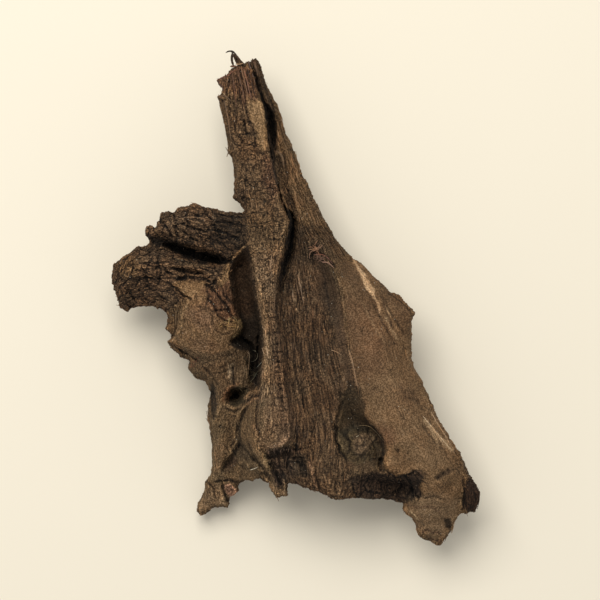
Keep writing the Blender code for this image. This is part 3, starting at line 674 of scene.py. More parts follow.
# Lines that the fibres follow down the stem, in photo pixels, each with its place across the grain
fibreGuides = [
    (0, [(222, 60), (224, 100), (230, 150), (236, 200), (247, 232), (252, 262), (257, 292), (265, 325),
        (265, 360), (259, 400), (255, 440), (258, 470), (262, 560)]),
    (16, [(250, 60), (263, 100), (271, 156), (280, 192), (289, 223), (284, 250), (277, 280), (275, 314),
        (280, 360), (287, 400), (293, 430), (290, 470), (288, 560)]),
    (38, [(254, 60), (269, 100), (281, 140), (295, 190), (309, 225), (323, 243), (338, 281), (343, 307),
        (349, 350), (357, 385), (366, 412), (372, 450), (376, 560)]),
    (72, [(259, 60), (275, 103), (293, 151), (308, 189), (325, 224), (348, 256), (373, 277), (399, 297),
        (413, 313), (416, 350), (428, 400), (450, 445), (470, 490), (478, 560)]),
]

# The arms' fibres run along them: the middle of each arm, in photo pixels
armGuides = {
    "upper": [(140, 236), (160, 228), (190, 225), (220, 232), (260, 240)],
    "lower": [(108, 300), (120, 276), (140, 264), (170, 262), (200, 268), (240, 270)],
    "between": 250,  # the photo row that parts them
}

# Edges of the wood's parts, in photo pixels
places = {
    "arms": [(90, 190), (246, 190), (246, 246), (232, 262), (222, 278), (213, 290), (205, 284), (190, 281),
        (176, 284), (186, 296), (180, 304), (170, 312), (166, 330), (90, 330)],
    "lobe": [(176, 284), (190, 280), (206, 283), (208, 300), (216, 313), (230, 319), (241, 320), (240, 333),
        (230, 342), (232, 350), (215, 357), (196, 352), (183, 347), (168, 343), (176, 332), (183, 310),
        (190, 297), (181, 290)],
    "crevice": [(249, 244), (231, 262), (230, 280), (233, 295), (236, 310), (240, 320), (239, 333),
        (228, 345), (247, 352), (247, 368), (249, 380), (258, 388), (262, 370), (264, 340), (262, 315),
        (257, 295), (253, 275), (251, 258)],
    "wingSmooth": [(338, 262), (360, 262), (398, 296), (414, 313), (412, 350), (428, 400), (452, 445),
        (464, 480), (460, 512), (440, 545), (415, 530), (404, 505), (420, 488), (398, 476), (386, 468),
        (386, 448), (372, 428), (362, 412), (352, 370), (346, 330)],
    "tornTop": [(212, 55), (262, 55), (262, 92), (248, 104), (236, 122), (222, 118)],
    "strapCrest": [(254, 276), (262, 286), (271, 318), (273, 350), (275, 385), (273, 412), (266, 438),
        (255, 440), (258, 400), (262, 360), (262, 325), (256, 292)],
    "strapFoot": [(256, 398), (290, 392), (296, 430), (290, 444), (270, 450), (258, 446)],
    "calm": [(316, 262), (330, 264), (340, 290), (346, 340), (354, 384), (366, 412), (384, 440), (384, 462),
        (366, 472), (345, 462), (335, 440), (337, 404), (350, 390), (340, 350), (330, 312), (318, 300)],
    "calmCavity": [(349, 478), (386, 472), (424, 468), (428, 494), (414, 504), (360, 500)],
    "knobTop": [(342, 430), (356, 424), (370, 426), (382, 436), (384, 452), (376, 462), (362, 462),
        (350, 458), (343, 446)],
    "calmEnd": [(266, 450), (300, 450), (306, 470), (290, 480), (280, 486), (268, 466)],
    "calmLegs": [(238, 404), (254, 404), (252, 440), (262, 470), (256, 482), (240, 480), (232, 456),
        (236, 430)],
    "plainLegs": [(186, 350), (215, 357), (246, 352), (250, 380), (256, 402), (254, 440), (262, 465),
        (258, 482), (236, 484), (232, 508), (192, 516), (204, 480), (208, 440), (205, 390), (188, 372)],
    "paleWood": [(246, 92), (250, 100), (257, 101), (260, 95), (263, 100), (265, 112), (267, 128),
        (268, 142), (267, 151), (262, 152), (257, 140), (256, 131), (251, 121), (248, 108)],
}


def grainOf(points):
    # each point's place across the fibres, along them and up, in millimetres
    across = np.empty(len(points))
    guides = []
    for place, path in fibreGuides:
        x, y = fromPhoto(path).T
        guides.append((place, np.interp(-points[:, 1], -y, x)))
    first, last = guides[0], guides[-1]
    across[:] = points[:, 0] - first[1]
    for (placeA, a), (placeB, b) in zip(guides[:-1], guides[1:]):
        between = (points[:, 0] >= a) & (points[:, 0] < b)
        share = (points[:, 0] - a) / np.maximum(b - a, 0.5)
        across[between] = (placeA + (placeB - placeA) * share)[between]
    beyond = points[:, 0] >= last[1]
    across[beyond] = (last[0] + points[:, 0] - last[1])[beyond]
    stem = np.column_stack([across, points[:, 1], points[:, 2]])

    row = fromPhoto([(0, armGuides["between"])])[0, 1]
    arm = np.empty_like(stem)
    for name, chosen in (("upper", points[:, 1] >= row), ("lower", points[:, 1] < row)):
        x, y = fromPhoto(armGuides[name]).T
        middle = np.interp(points[:, 0], x, y)
        arm[chosen] = np.column_stack([points[:, 1] - middle, points[:, 0], points[:, 2]])[chosen]
    onArms = within(points, fromPhoto(places["arms"]), 0.5)[:, None] > 0.5
    bend = np.column_stack([lumps(points, 14, 11), lumps(points, 14, 12)]) * 7
    swirl = within(points, fromPhoto(places["lobe"]), 4)[:, None]
    grain = np.where(onArms, arm, stem)
    grain[:, :2] += bend * (0.25 + swirl)
    return grain


# Colours of the parts, as seen on a screen, from 0 to 255

ground = (84, 66, 47)  # the colour where no patch lies

# Patches, the later ones over the earlier: colour, soft edge in millimetres, strength, outline
patches = {
    "fibreFace": ((79, 60, 43), 2.0, 1.0, [(290, 224), (309, 225), (331, 262), (343, 307), (352, 370),
        (364, 412), (345, 398), (334, 420), (334, 445), (352, 466), (352, 500), (285, 500), (296, 450),
        (292, 430), (282, 380), (276, 320), (278, 280), (286, 250)]),
    # painted shade on the fibre face beside the strap's raised right edge
    "fibreShade": ((64, 50, 36), 3.0, 0.8, [(290, 228), (310, 228), (326, 250), (322, 262), (312, 268),
        (296, 262), (286, 300), (280, 290)]),
    "fibreHollow": ((62, 50, 37), 3.0, 0.6, [(320, 262), (330, 266), (337, 282), (340, 312), (336, 330),
        (326, 322), (322, 290)]),
    "fibreLow": ((92, 71, 51), 4.0, 0.7, [(300, 400), (330, 410), (334, 450), (350, 475), (340, 498),
        (312, 490)]),
    "bowl": ((60, 47, 30), 1.6, 0.95, [(341, 394), (350, 384), (362, 390), (366, 404), (370, 420),
        (380, 432), (386, 446), (384, 462), (374, 470), (366, 455), (360, 428), (345, 424), (336, 440),
        (338, 415)]),
    "knob": ((80, 67, 46), 1.4, 0.95, [(338, 432), (352, 426), (368, 429), (378, 436), (380, 448),
        (370, 459), (356, 464), (344, 458), (338, 446)]),
    "knobPale": ((118, 97, 75), 1.6, 0.9, [(354, 436), (366, 432), (374, 438), (370, 449), (358, 454),
        (353, 446)]),
    "knobDark": ((44, 38, 26), 1.4, 0.8, [(338, 430), (352, 424), (372, 428), (366, 432), (352, 431),
        (342, 438)]),
    "cavity": ((60, 45, 34), 1.4, 0.97, [(349, 478), (362, 474), (376, 472), (386, 474), (400, 470),
        (418, 466), (430, 470), (428, 494), (414, 504), (392, 502), (360, 500)]),
    # painted shade in the cavity under the wing's overhanging lip
    "cavityShade": ((44, 33, 26), 2.4, 0.8, [(366, 479), (376, 475), (388, 479), (398, 482), (408, 477),
        (419, 476), (421, 486), (419, 498), (410, 500), (408, 488), (396, 486), (380, 485)]),
    "outerStrip": ((116, 90, 64), 1.5, 0.9, [(254, 60), (262, 66), (277, 103), (295, 151), (310, 189),
        (325, 226), (296, 226), (284, 190), (277, 152), (266, 105)]),
    "outerShade": ((84, 65, 47), 1.5, 0.8, [(276, 156), (284, 152), (289, 176), (294, 206), (303, 226),
        (292, 214), (284, 196)]),
    "outerTop": ((74, 57, 42), 1.0, 0.8, [(250, 58), (258, 58), (266, 84), (276, 112), (270, 112),
        (260, 86)]),
    "strapTop": ((93, 71, 50), 0.4, 1.0, [(216, 78), (240, 66), (252, 70), (260, 96), (268, 150),
        (284, 208), (290, 224), (285, 250), (252, 262), (243, 232), (243, 205), (234, 190), (230, 150),
        (220, 110)]),
    "strapWide": ((96, 75, 53), 3.0, 0.7, [(246, 212), (270, 216), (288, 224), (284, 250), (256, 262),
        (246, 240)]),
    "strapLow": ((108, 86, 65), 0.4, 1.0, [(252, 258), (284, 250), (277, 280), (275, 314), (280, 335),
        (283, 370), (288, 405), (294, 428), (289, 444), (266, 450), (252, 440), (258, 400), (264, 360),
        (264, 325), (256, 292)]),
    # painted highlight along the strap's lit crest
    "strapCrestHighlight": ((138, 112, 86), 1.0, 0.8, [(254, 276), (262, 286), (268, 318), (269, 350), (270, 385),
        (268, 410), (262, 432), (259, 420), (264, 385), (263, 340), (259, 310)]),
    # painted shade on the strap's right flank, turned away from the light
    "strapFlankShade": ((96, 74, 56), 1.0, 0.8, [(277, 290), (276, 320), (284, 340), (286, 380), (295, 420),
        (292, 440), (282, 438), (278, 400), (274, 350), (272, 310)]),
    "strapHollow": ((78, 66, 48), 1.6, 0.7, [(259, 402), (266, 398), (267, 418), (262, 434), (257, 424)]),
    "strapFoot": ((122, 96, 70), 1.2, 0.8, [(256, 436), (268, 426), (276, 432), (276, 444), (264, 448),
        (266, 462), (260, 456)]),
    "redTop": ((92, 64, 48), 2.0, 0.6, [(216, 80), (226, 74), (240, 66), (252, 70), (257, 86), (257, 100),
        (248, 98), (244, 110), (240, 96), (232, 90), (222, 88)]),
    "redFlank": ((98, 68, 52), 2.0, 0.5, [(264, 156), (272, 160), (279, 192), (272, 203), (262, 180)]),
    "arms": ((84, 64, 47), 1.5, 1.0, places["arms"]),
    "armRoot": ((52, 40, 29), 2.0, 0.9, [(214, 214), (246, 214), (246, 244), (232, 262), (216, 256),
        (212, 240)]),
    "armOrange": ((108, 82, 52), 4.0, 0.6, [(116, 262), (128, 256), (142, 262), (136, 276), (120, 276)]),
    "armTop": ((92, 72, 54), 3.0, 0.6, [(160, 216), (180, 210), (196, 207), (206, 216), (196, 226),
        (176, 228), (160, 228)]),
    # painted shade on the upper arm's lower flank, above the gap
    "armFlankShade": ((33, 26, 20), 0.8, 0.9, [(143, 231), (151, 235), (163, 239), (175, 242), (186, 247),
        (178, 250), (170, 247), (156, 246), (148, 238)]),
    "armPale": ((116, 94, 72), 1.0, 0.5, [(168, 257), (186, 261), (206, 265), (200, 268), (180, 265)]),
    "lobe": ((116, 89, 62), 1.0, 1.0, [(176, 284), (190, 280), (206, 283), (208, 300), (216, 313),
        (230, 319), (241, 320), (240, 333), (230, 340), (232, 348), (215, 354), (196, 352), (183, 347),
        (168, 343), (168, 320), (170, 310), (176, 304), (184, 300), (181, 290)]),
    "lobeSide": ((102, 80, 57), 2.0, 0.8, [(168, 310), (178, 304), (184, 312), (180, 330), (170, 342),
        (166, 330)]),
    "lobePink": ((122, 92, 70), 3.0, 0.7, [(184, 312), (200, 306), (214, 316), (212, 330), (196, 326)]),
    "lobeSpot": ((100, 75, 54), 2.0, 0.6, [(190, 340), (206, 336), (220, 346), (208, 354), (192, 350)]),
    "lobeLip": ((128, 101, 71), 0.5, 0.8, [(173, 284), (180, 281), (190, 280), (204, 282), (200, 292),
        (190, 297), (183, 293), (177, 289)]),
    "lobeRed": ((96, 66, 47), 2.4, 0.85, [(207, 285), (214, 291), (221, 277), (231, 265), (232, 285),
        (236, 304), (238, 316), (226, 320), (212, 311), (204, 304), (209, 296), (203, 290)]),
    "rimOrange": ((132, 102, 70), 0.8, 0.85, [(248, 243), (251, 250), (240, 259), (233, 264), (228, 280),
        (220, 288), (217, 284), (224, 268), (236, 253)]),
    "lobeLower": ((100, 79, 57), 2.0, 0.9, [(186, 350), (215, 356), (246, 352), (248, 376), (240, 388),
        (216, 395), (206, 384), (188, 372)]),
    "leg": ((104, 84, 61), 2.0, 1.0, [(208, 388), (222, 400), (246, 402), (256, 402), (254, 440),
        (262, 465), (258, 480), (236, 482), (232, 506), (196, 512), (204, 480), (210, 440)]),
    "gully": ((50, 39, 29), 0.8, 0.85, [(210, 384), (215, 388), (217, 402), (215, 415), (211, 412),
        (209, 398)]),
    "gullyRidge": ((112, 90, 66), 0.8, 0.6, [(217, 396), (221, 398), (219, 412), (214, 424), (213, 418),
        (217, 408)]),
    "legPale": ((118, 94, 70), 2.0, 0.6, [(214, 440), (226, 445), (222, 468), (212, 480)]),
    "legDark": ((64, 48, 38), 1.2, 0.8, [(224, 470), (226, 462), (234, 455), (238, 460), (232, 470),
        (226, 474)]),
    "saddleDark": ((62, 50, 37), 2.0, 0.7, [(232, 446), (246, 442), (250, 452), (258, 464), (250, 462),
        (238, 458)]),
    "foot": ((124, 101, 77), 1.6, 0.8, [(206, 488), (216, 486), (222, 492), (223, 506), (206, 511),
        (196, 514), (198, 504)]),
    # the strap's broken end: its own dark plates, darkened further as painted shadow below the lip
    "strapEnd": ((64, 50, 39), 2.4, 0.9, [(267, 452), (277, 449), (290, 449), (300, 455), (306, 464),
        (303, 474), (294, 477), (286, 484), (277, 478), (271, 466)]),
    # painted shadow right under the strap's broken lip
    "strapEndShadow": ((38, 30, 24), 1.0, 0.8, [(268, 450), (280, 448), (291, 447), (294, 452), (284, 454),
        (272, 456)]),
    "strapEndPlate": ((88, 68, 54), 1.0, 0.7, [(272, 458), (281, 456), (283, 470), (278, 476)]),
    "strapEndPlateLow": ((74, 58, 46), 1.0, 0.7, [(285, 458), (291, 457), (294, 470), (288, 476)]),
    "strapEndMoss": ((58, 49, 38), 2.0, 0.7, [(292, 452), (306, 454), (310, 474), (296, 478)]),
    "middleFoot": ((124, 100, 76), 1.2, 0.8, [(262, 470), (270, 478), (284, 486), (286, 498), (276, 496),
        (268, 486)]),
    "middleDark": ((42, 32, 26), 0.7, 0.85, [(270, 470), (284, 473), (287, 483), (283, 490), (278, 489),
        (273, 480)]),
    "wing": ((114, 88, 61), 0.5, 1.0, [(334, 260), (348, 254), (398, 292), (418, 313), (414, 350),
        (430, 400), (456, 445), (468, 480), (466, 512), (440, 548), (412, 530), (402, 506), (414, 500),
        (422, 497), (420, 488), (422, 479), (427, 472), (422, 468), (414, 469), (406, 473), (398, 476),
        (391, 473), (386, 468), (383, 462), (386, 454), (386, 447), (382, 436), (376, 428), (369, 424),
        (365, 417), (365, 404), (360, 390), (355, 372), (350, 350), (345, 320), (342, 290)]),
    "wingSide": ((96, 73, 51), 4.0, 0.8, [(342, 290), (352, 290), (362, 350), (372, 390), (366, 400),
        (352, 360), (344, 320)]),
    "wingWarm": ((106, 77, 54), 7.0, 0.7, [(350, 300), (372, 300), (388, 340), (384, 372), (366, 376),
        (354, 340)]),
    "wingTop": ((92, 69, 48), 4.0, 0.8, [(325, 235), (345, 256), (360, 270), (372, 300), (360, 300),
        (342, 280)]),
    "wingPale": ((124, 98, 71), 8.0, 0.7, [(368, 385), (400, 380), (440, 440), (452, 470), (420, 465),
        (392, 450), (380, 420)]),
    "wingEdge": ((88, 66, 46), 3.0, 0.6, [(372, 274), (398, 292), (416, 313), (410, 345), (400, 330),
        (388, 304)]),
    "wingLip": ((136, 106, 75), 1.4, 0.7, [(386, 446), (392, 452), (394, 466), (408, 466), (422, 462),
        (432, 470), (424, 474), (414, 468), (398, 474), (388, 468), (384, 460)]),
    "rightFoot": ((124, 100, 75), 3.0, 0.8, [(408, 500), (440, 492), (460, 500), (452, 530), (438, 548),
        (415, 530)]),
    "wingRedSpot": ((100, 70, 50), 3.0, 0.6, [(376, 424), (392, 428), (396, 440), (386, 446), (378, 436)]),
    "wingDarkSpot": ((88, 64, 44), 3.0, 0.5, [(398, 384), (416, 388), (424, 402), (412, 406), (402, 398)]),
    "footHole": ((48, 38, 28), 0.8, 0.9, [(444, 519), (450, 518), (453, 526), (450, 532), (445, 527)]),
    "wingHole": ((62, 46, 33), 0.8, 0.8, [(434, 476), (441, 471), (449, 467), (453, 470), (446, 475),
        (438, 480)]),
    "sideKnob": ((41, 26, 17), 0.5, 0.95, [(467, 477), (474, 480), (481, 492), (482, 503), (476, 513),
        (468, 512), (464, 509), (463, 503), (466, 496), (464, 489), (467, 483)]),
    "crevice": ((48, 38, 29), 0.7, 0.95, places["crevice"]),
    "creviceTop": ((78, 57, 40), 2.5, 0.85, [(246, 252), (233, 264), (233, 290), (237, 312), (250, 318),
        (256, 300), (252, 270)]),
    "knothole": ((58, 49, 33), 0.8, 0.95, [(226, 396), (231, 389), (240, 386), (248, 389), (248, 396),
        (243, 404), (236, 408), (229, 405)]),
    "knotholeWall": ((98, 68, 44), 0.6, 0.8, [(225, 390), (229, 388), (230, 396), (228, 403), (225, 399)]),
    "palePatch": ((139, 110, 78), 0.5, 0.97, [(246, 92), (250, 100), (257, 101), (260, 95), (263, 100),
        (265, 112), (267, 128), (268, 142), (267, 151), (262, 152), (257, 140), (256, 131), (251, 121),
        (248, 108)]),
    "creamStreak": ((198, 164, 128), 0.5, 0.9, [(352, 259), (356, 262), (361, 269), (366, 276), (371, 284),
        (375, 292), (378, 303), (381, 315), (377, 307), (373, 297), (368, 291), (364, 284), (359, 273),
        (356, 266)]),
    "chip": ((140, 106, 88), 0.5, 0.9, [(223, 487), (230, 485), (237, 494), (230, 501), (225, 495)]),
    "yellowLip": ((124, 101, 70), 1.4, 0.5, [(233, 318), (240, 320), (241, 330), (236, 335), (231, 328)]),
    "paleFlake": ((152, 130, 106), 0.3, 0.95, [(229, 363), (233, 362), (234, 372), (231, 380), (227, 377)]),
    # painted shade: a near-black sheet down the deep slot beside the outer strip
    "slotPaintedShade": ((22, 16, 12), 0.5, 0.9, [(255, 78), (258, 78), (262, 92), (265, 101), (272, 108),
        (276, 120), (277, 135), (277, 147), (274, 151), (275, 165), (280, 192), (276, 182), (272, 165),
        (270, 150), (267, 136), (266, 120), (264, 108), (260, 96)]),
    # painted shade: near-black in the hollow beside the strap's right edge
    "hollowPaintedShade": ((13, 10, 8), 0.5, 0.95, [(281, 199), (285, 205), (291, 212), (295, 222), (294, 234),
        (293, 246), (290, 258), (285, 272), (281, 286), (279, 280), (282, 262), (285, 254), (286, 244),
        (287, 234), (290, 224), (286, 213)]),
    # painted shade: near-black in the gap between the two arms
    "armGapPaintedShade": ((13, 10, 8), 0.7, 0.95, [(164, 243), (176, 243), (186, 247), (201, 251), (216, 254),
        (226, 258), (230, 263), (215, 264), (200, 262), (182, 257), (172, 252)]),
    "lumpShade": ((34, 27, 20), 1.0, 0.8, [(149, 237), (158, 237), (168, 240), (177, 240), (183, 245),
        (172, 247), (160, 246), (153, 243)]),
    # painted shade under the overhang of the crevice's undercut
    "undercutPaintedShade": ((33, 27, 20), 2.0, 0.9, [(233, 339), (241, 336), (250, 342), (256, 350), (258, 366),
        (252, 376), (249, 366), (248, 352), (240, 348), (234, 345)]),
}

# Pale and dark lines: colour, width in millimetres, strength, path
lines = {
    "wingStreak": ((170, 142, 110), 0.9, 0.7, [(386, 318), (390, 328), (396, 338)]),
    "wingStreakHigh": ((162, 134, 102), 0.8, 0.6, [(387, 308), (390, 316)]),
    "wingStreakLong": ((134, 108, 80), 1.0, 0.6, [(362, 302), (370, 320), (384, 342)]),
    "wingLineDark": ((66, 48, 34), 0.8, 0.6, [(381, 296), (386, 312), (392, 326)]),
    "wingLineDarkLow": ((70, 52, 36), 0.9, 0.5, [(374, 300), (380, 318), (388, 332)]),
    "edgeFibre": ((186, 158, 124), 1.3, 0.8, [(424, 420), (434, 432), (444, 442), (452, 450)]),
    "edgeFibreLow": ((178, 148, 114), 1.2, 0.7, [(431, 428), (436, 440), (438, 446)]),
    "edgeFibreHigh": ((160, 132, 100), 0.8, 0.6, [(430, 410), (436, 422), (444, 434), (450, 444)]),
    "faceStreak": ((168, 134, 104), 0.6, 0.8, [(349, 351), (352, 366), (354, 376), (357, 386)]),
    "faceStreakHigh": ((124, 102, 82), 1.2, 0.6, [(298, 274), (301, 286), (304, 298)]),
    "faceStreakSide": ((124, 104, 84), 0.8, 0.6, [(291, 286), (294, 298), (298, 312)]),
    "faceLineOne": ((56, 43, 32), 0.7, 0.5, [(288, 280), (291, 320), (295, 360), (300, 400), (305, 440)]),
    "faceLineTwo": ((56, 43, 32), 0.7, 0.5, [(300, 300), (304, 340), (309, 380), (316, 420), (322, 450)]),
    "faceLineThree": ((58, 44, 33), 0.7, 0.5, [(312, 320), (317, 360), (324, 400), (331, 430)]),
    "facePaleOne": ((108, 86, 64), 0.6, 0.5, [(292, 360), (297, 400), (303, 440), (309, 470)]),
    "facePaleTwo": ((108, 86, 64), 0.6, 0.5, [(304, 330), (308, 370), (314, 410), (321, 445)]),
    "facePaleThree": ((112, 88, 66), 0.6, 0.5, [(320, 380), (326, 410), (332, 440), (340, 470)]),
    "boundary": ((116, 92, 66), 0.8, 0.7, [(333, 264), (339, 281), (344, 305), (346, 330), (349, 350)]),
    "hollowLine": ((96, 80, 58), 1.0, 0.5, [(326, 264), (334, 274), (338, 290)]),
    "lowRidge": ((116, 90, 72), 1.0, 0.7, [(309, 462), (313, 476), (317, 490)]),
    "lobeLine": ((144, 116, 84), 0.7, 0.7, [(190, 297), (187, 306), (182, 315), (182, 324), (180, 332),
        (172, 341)]),
    "lobeLineSide": ((120, 98, 72), 0.7, 0.6, [(187, 299), (183, 304), (181, 312)]),
    "lobeBright": ((190, 164, 122), 0.9, 0.85, [(240, 320), (241, 327), (238, 333), (233, 337)]),
    "flakePale": ((134, 106, 80), 1.0, 0.7, [(245, 399), (249, 393), (256, 391)]),
    "flakePaleLow": ((128, 100, 76), 1.0, 0.7, [(248, 404), (254, 399), (259, 398)]),
    "flakeDark": ((46, 34, 27), 0.9, 0.8, [(247, 401), (252, 396), (259, 395)]),
    "betweenFlake": ((132, 105, 80), 1.4, 0.7, [(253, 425), (257, 428), (258, 433)]),
    "lowerLip": ((120, 98, 76), 0.8, 0.7, [(247, 352), (248, 362), (246, 372)]),
    "strapShade": ((60, 46, 35), 1.5, 0.45, [(277, 264), (276, 290), (277, 320), (281, 345), (284, 370),
        (288, 395), (292, 420), (292, 436)]),
    # painted highlight along the strap's lit crest
    "strapCrest": ((142, 116, 90), 2.4, 0.4, [(258, 290), (263, 312), (266, 335), (267, 360), (268, 385),
        (268, 405), (265, 425)]),
    "strapEdge": ((112, 88, 64), 0.8, 0.65, [(278, 202), (284, 212), (288, 222), (285, 232), (283, 245),
        (279, 258), (276, 272)]),
    "strapSeam": ((62, 46, 36), 0.7, 0.6, [(272, 326), (274, 352), (277, 375), (279, 400)]),
    "footRay": ((152, 126, 98), 0.5, 0.6, [(262, 380), (264, 400), (265, 420), (262, 436), (257, 448)]),
    "footRayMiddle": ((148, 122, 94), 0.5, 0.6, [(268, 385), (271, 405), (272, 424), (269, 440)]),
    "footRayRight": ((140, 114, 88), 0.5, 0.5, [(275, 390), (278, 410), (279, 426), (276, 440)]),
    "footRayDark": ((66, 49, 37), 0.5, 0.6, [(265, 385), (268, 405), (268, 424), (265, 440)]),
    "strapHeel": ((148, 122, 84), 1.0, 0.7, [(264, 455), (266, 462), (269, 468)]),
    "strapRoot": ((138, 112, 83), 3.0, 0.8, [(252, 436), (256, 450), (264, 464)]),
    "strapLip": ((140, 111, 88), 1.3, 0.8, [(267, 447), (273, 446), (279, 444), (285, 440), (289, 433)]),
    "legLine": ((134, 109, 80), 1.2, 0.75, [(243, 405), (236, 418), (234, 430), (235, 442), (230, 452),
        (226, 463)]),
    "legLineDark": ((60, 47, 35), 1.2, 0.4, [(247, 409), (240, 421), (238, 433), (239, 444), (234, 455)]),
    "legLineLeft": ((120, 98, 72), 0.9, 0.5, [(212, 424), (218, 414), (222, 404)]),
    "holeRim": ((134, 98, 70), 1.2, 0.8, [(223, 401), (224, 394), (230, 387), (238, 384)]),
    "holeRimLow": ((106, 84, 60), 1.0, 0.35, [(226, 404), (234, 409), (243, 405)]),
    "holeRimRight": ((120, 92, 66), 1.0, 0.6, [(246, 396), (250, 392), (254, 390)]),
    "redEdge": ((112, 78, 60), 0.8, 0.6, [(217, 79), (226, 77), (236, 70), (246, 68)]),
    "footEdge": ((134, 110, 88), 0.8, 0.7, [(272, 486), (278, 495), (286, 492)]),
    "toeLine": ((146, 120, 92), 1.1, 0.8, [(216, 487), (221, 493), (222, 505)]),
    "chipEdge": ((190, 150, 128), 0.5, 0.9, [(224, 487), (230, 486), (235, 493), (230, 499)]),
    "chipDark": ((40, 28, 23), 0.7, 0.8, [(216, 482), (224, 482), (232, 482), (237, 488)]),
    "toeDark": ((46, 35, 27), 1.0, 0.85, [(222, 487), (224, 496), (227, 503)]),
    "footFold": ((184, 158, 124), 0.6, 0.8, [(410, 512), (415, 515), (418, 520)]),
    "footFoldDark": ((84, 60, 44), 1.2, 0.6, [(408, 505), (418, 508), (430, 506), (440, 512)]),
    "footSpecks": ((66, 40, 30), 0.9, 0.7, [(423, 533), (428, 530), (433, 534), (439, 533)]),
    "footSpecksLow": ((60, 38, 28), 0.9, 0.7, [(429, 539), (435, 541), (441, 543)]),
    "endCrack": ((26, 20, 16), 0.6, 0.85, [(297, 422), (297, 436), (297, 450)]),
    "endCrackLeft": ((26, 20, 16), 0.5, 0.8, [(277, 450), (279, 462), (284, 476)]),
    "endCrackMiddle": ((28, 21, 17), 0.5, 0.8, [(287, 448), (288, 460), (291, 474)]),
    "endCrackRight": ((28, 21, 17), 0.5, 0.75, [(300, 452), (303, 462), (308, 476)]),
    "endCrackAcross": ((30, 23, 18), 0.5, 0.7, [(284, 458), (294, 461), (306, 458)]),
    "endPale": ((82, 64, 48), 0.8, 0.6, [(281, 452), (283, 464), (287, 474)]),
    "endPaleRight": ((80, 62, 47), 0.8, 0.6, [(293, 452), (296, 462), (299, 472)]),
    "middleRidge": ((134, 110, 84), 1.4, 0.75, [(262, 468), (268, 480), (274, 490), (279, 496)]),
    "middleEdge": ((140, 116, 92), 0.7, 0.7, [(283, 479), (285, 487), (285, 494)]),
    "armLine": ((124, 104, 82), 0.7, 0.7, [(176, 259), (190, 263), (206, 266)]),
    "armLineLow": ((116, 98, 76), 0.7, 0.5, [(184, 278), (196, 276)]),
    "lumpLine": ((128, 104, 78), 0.7, 0.8, [(157, 225), (155, 229), (157, 233), (161, 236)]),
    # painted shadow under the wing's lip, over the cavity
    "rimShadow": ((24, 18, 14), 0.9, 0.8, [(386, 470), (395, 478), (404, 476), (412, 471), (421, 470)]),
    # painted shadow under the bowl's overhanging right lip
    "rimShadowUp": ((30, 23, 18), 0.9, 0.7, [(366, 420), (374, 428), (382, 438), (384, 450), (381, 462)]),
    # painted shade in the moat left of the knob
    "moatShade": ((26, 20, 15), 0.8, 0.7, [(336, 415), (335, 436), (339, 451), (347, 461)]),
    "knobCrack": ((26, 20, 15), 0.6, 0.75, [(353, 461), (361, 454), (368, 447), (377, 438)]),
    "knobCrackLeft": ((30, 24, 17), 0.5, 0.75, [(345, 434), (351, 441), (349, 449), (343, 456)]),
    "knobCrackAcross": ((34, 27, 19), 0.5, 0.7, [(351, 441), (357, 447), (361, 454)]),
    "knobCrackUp": ((34, 27, 19), 0.5, 0.7, [(357, 431), (362, 439), (368, 447)]),
    "knobCrackSide": ((38, 30, 22), 0.5, 0.6, [(357, 447), (364, 443), (371, 436)]),
    "knobCrackLow": ((38, 30, 22), 0.5, 0.6, [(349, 449), (356, 454), (361, 454)]),
    "knobCrackEnd": ((38, 30, 22), 0.5, 0.6, [(364, 457), (372, 455), (377, 448)]),
    "cavityCrack": ((14, 11, 9), 0.7, 0.8, [(405, 476), (411, 483), (413, 491), (412, 500)]),
    "cavityCrackLeft": ((22, 17, 13), 0.6, 0.7, [(354, 478), (352, 486), (356, 495), (363, 501)]),
    "cavityCrackMiddle": ((24, 18, 14), 0.6, 0.6, [(368, 479), (363, 485), (368, 492), (380, 494)]),
}

# The darkening along each carved groove: its width, the depth that gets all of it, and its strength
grooveShade = {"width": 0.5, "fullDepth": 1.5, "strength": 0.6}


def fromScreen(colour):
    # a colour as seen on a screen to the linear colour of a material
    share = np.array(colour, float) / 255
    return np.where(share > 0.04045, ((share + 0.055) / 1.055) ** 2.4, share / 12.92)


def tonesOf(points, normals):
    # the painted colour of each point, painted shade and painted highlights included, and painted shade along
    # the grooves; the back takes the plain ground colour
    tone = np.tile(fromScreen(ground), (len(points), 1))
    upper = eased(normals[:, 2], -0.35, 0.1)
    shaken = points[:, :2] + np.column_stack([lumps(points, 2.5, 21), lumps(points, 2.5, 22)]) * 1.4 - 0.7
    for colour, soft, strength, edge in patches.values():
        edge = fromPhoto(edge)
        near = ((shaken > edge.min(axis=0) - soft) & (shaken < edge.max(axis=0) + soft)).all(axis=1)
        share = within(shaken[near], edge, soft) * strength * upper[near]
        tone[near] += (fromScreen(colour) - tone[near]) * share[:, None]
    finer = points[:, :2] + np.column_stack([lumps(points, 1.6, 23), lumps(points, 1.6, 24)]) * 0.8 - 0.4
    for colour, width, strength, path in lines.values():
        gap = besidePath(finer, fromPhoto(path))[0]
        share = np.exp(-(gap / width * 1.6) ** 2) * strength * upper
        tone += (fromScreen(colour) - tone) * share[:, None]
    for _, depth, path in strokes["grooves"]:
        path = fromPhoto(path)
        near = ((finer > path.min(axis=0) - 1.5) & (finer < path.max(axis=0) + 1.5)).all(axis=1)
        gap = besidePath(finer[near], path)[0]
        share = np.exp(-(gap / grooveShade["width"]) ** 2) * min(depth / grooveShade["fullDepth"], 1)
        share *= grooveShade["strength"] * upper[near]
        tone[near] *= 1 - share[:, None]
    return tone


# Relief of the weathered wood

relief = {
    "Fibre Depth": 0.3,
    "Fibre Spacing": 0.9,
    "Block Size": 4.4,
    "Block Height": 0.4,
    "Block Crack": 0.4,
    "Check Size": 4.6,
    "Check Depth": 0.17,
    "Grit": 0.5,
    "Lump Height": 0.8,
    "Ragged Rim": 1.5,
}
blockStretch = (1.0, 0.6, 0.8)  # blocks are longer along the grain than across it
checkStretch = (0.7, 1.0, 0.8)  # the strap's blocks are wider across it


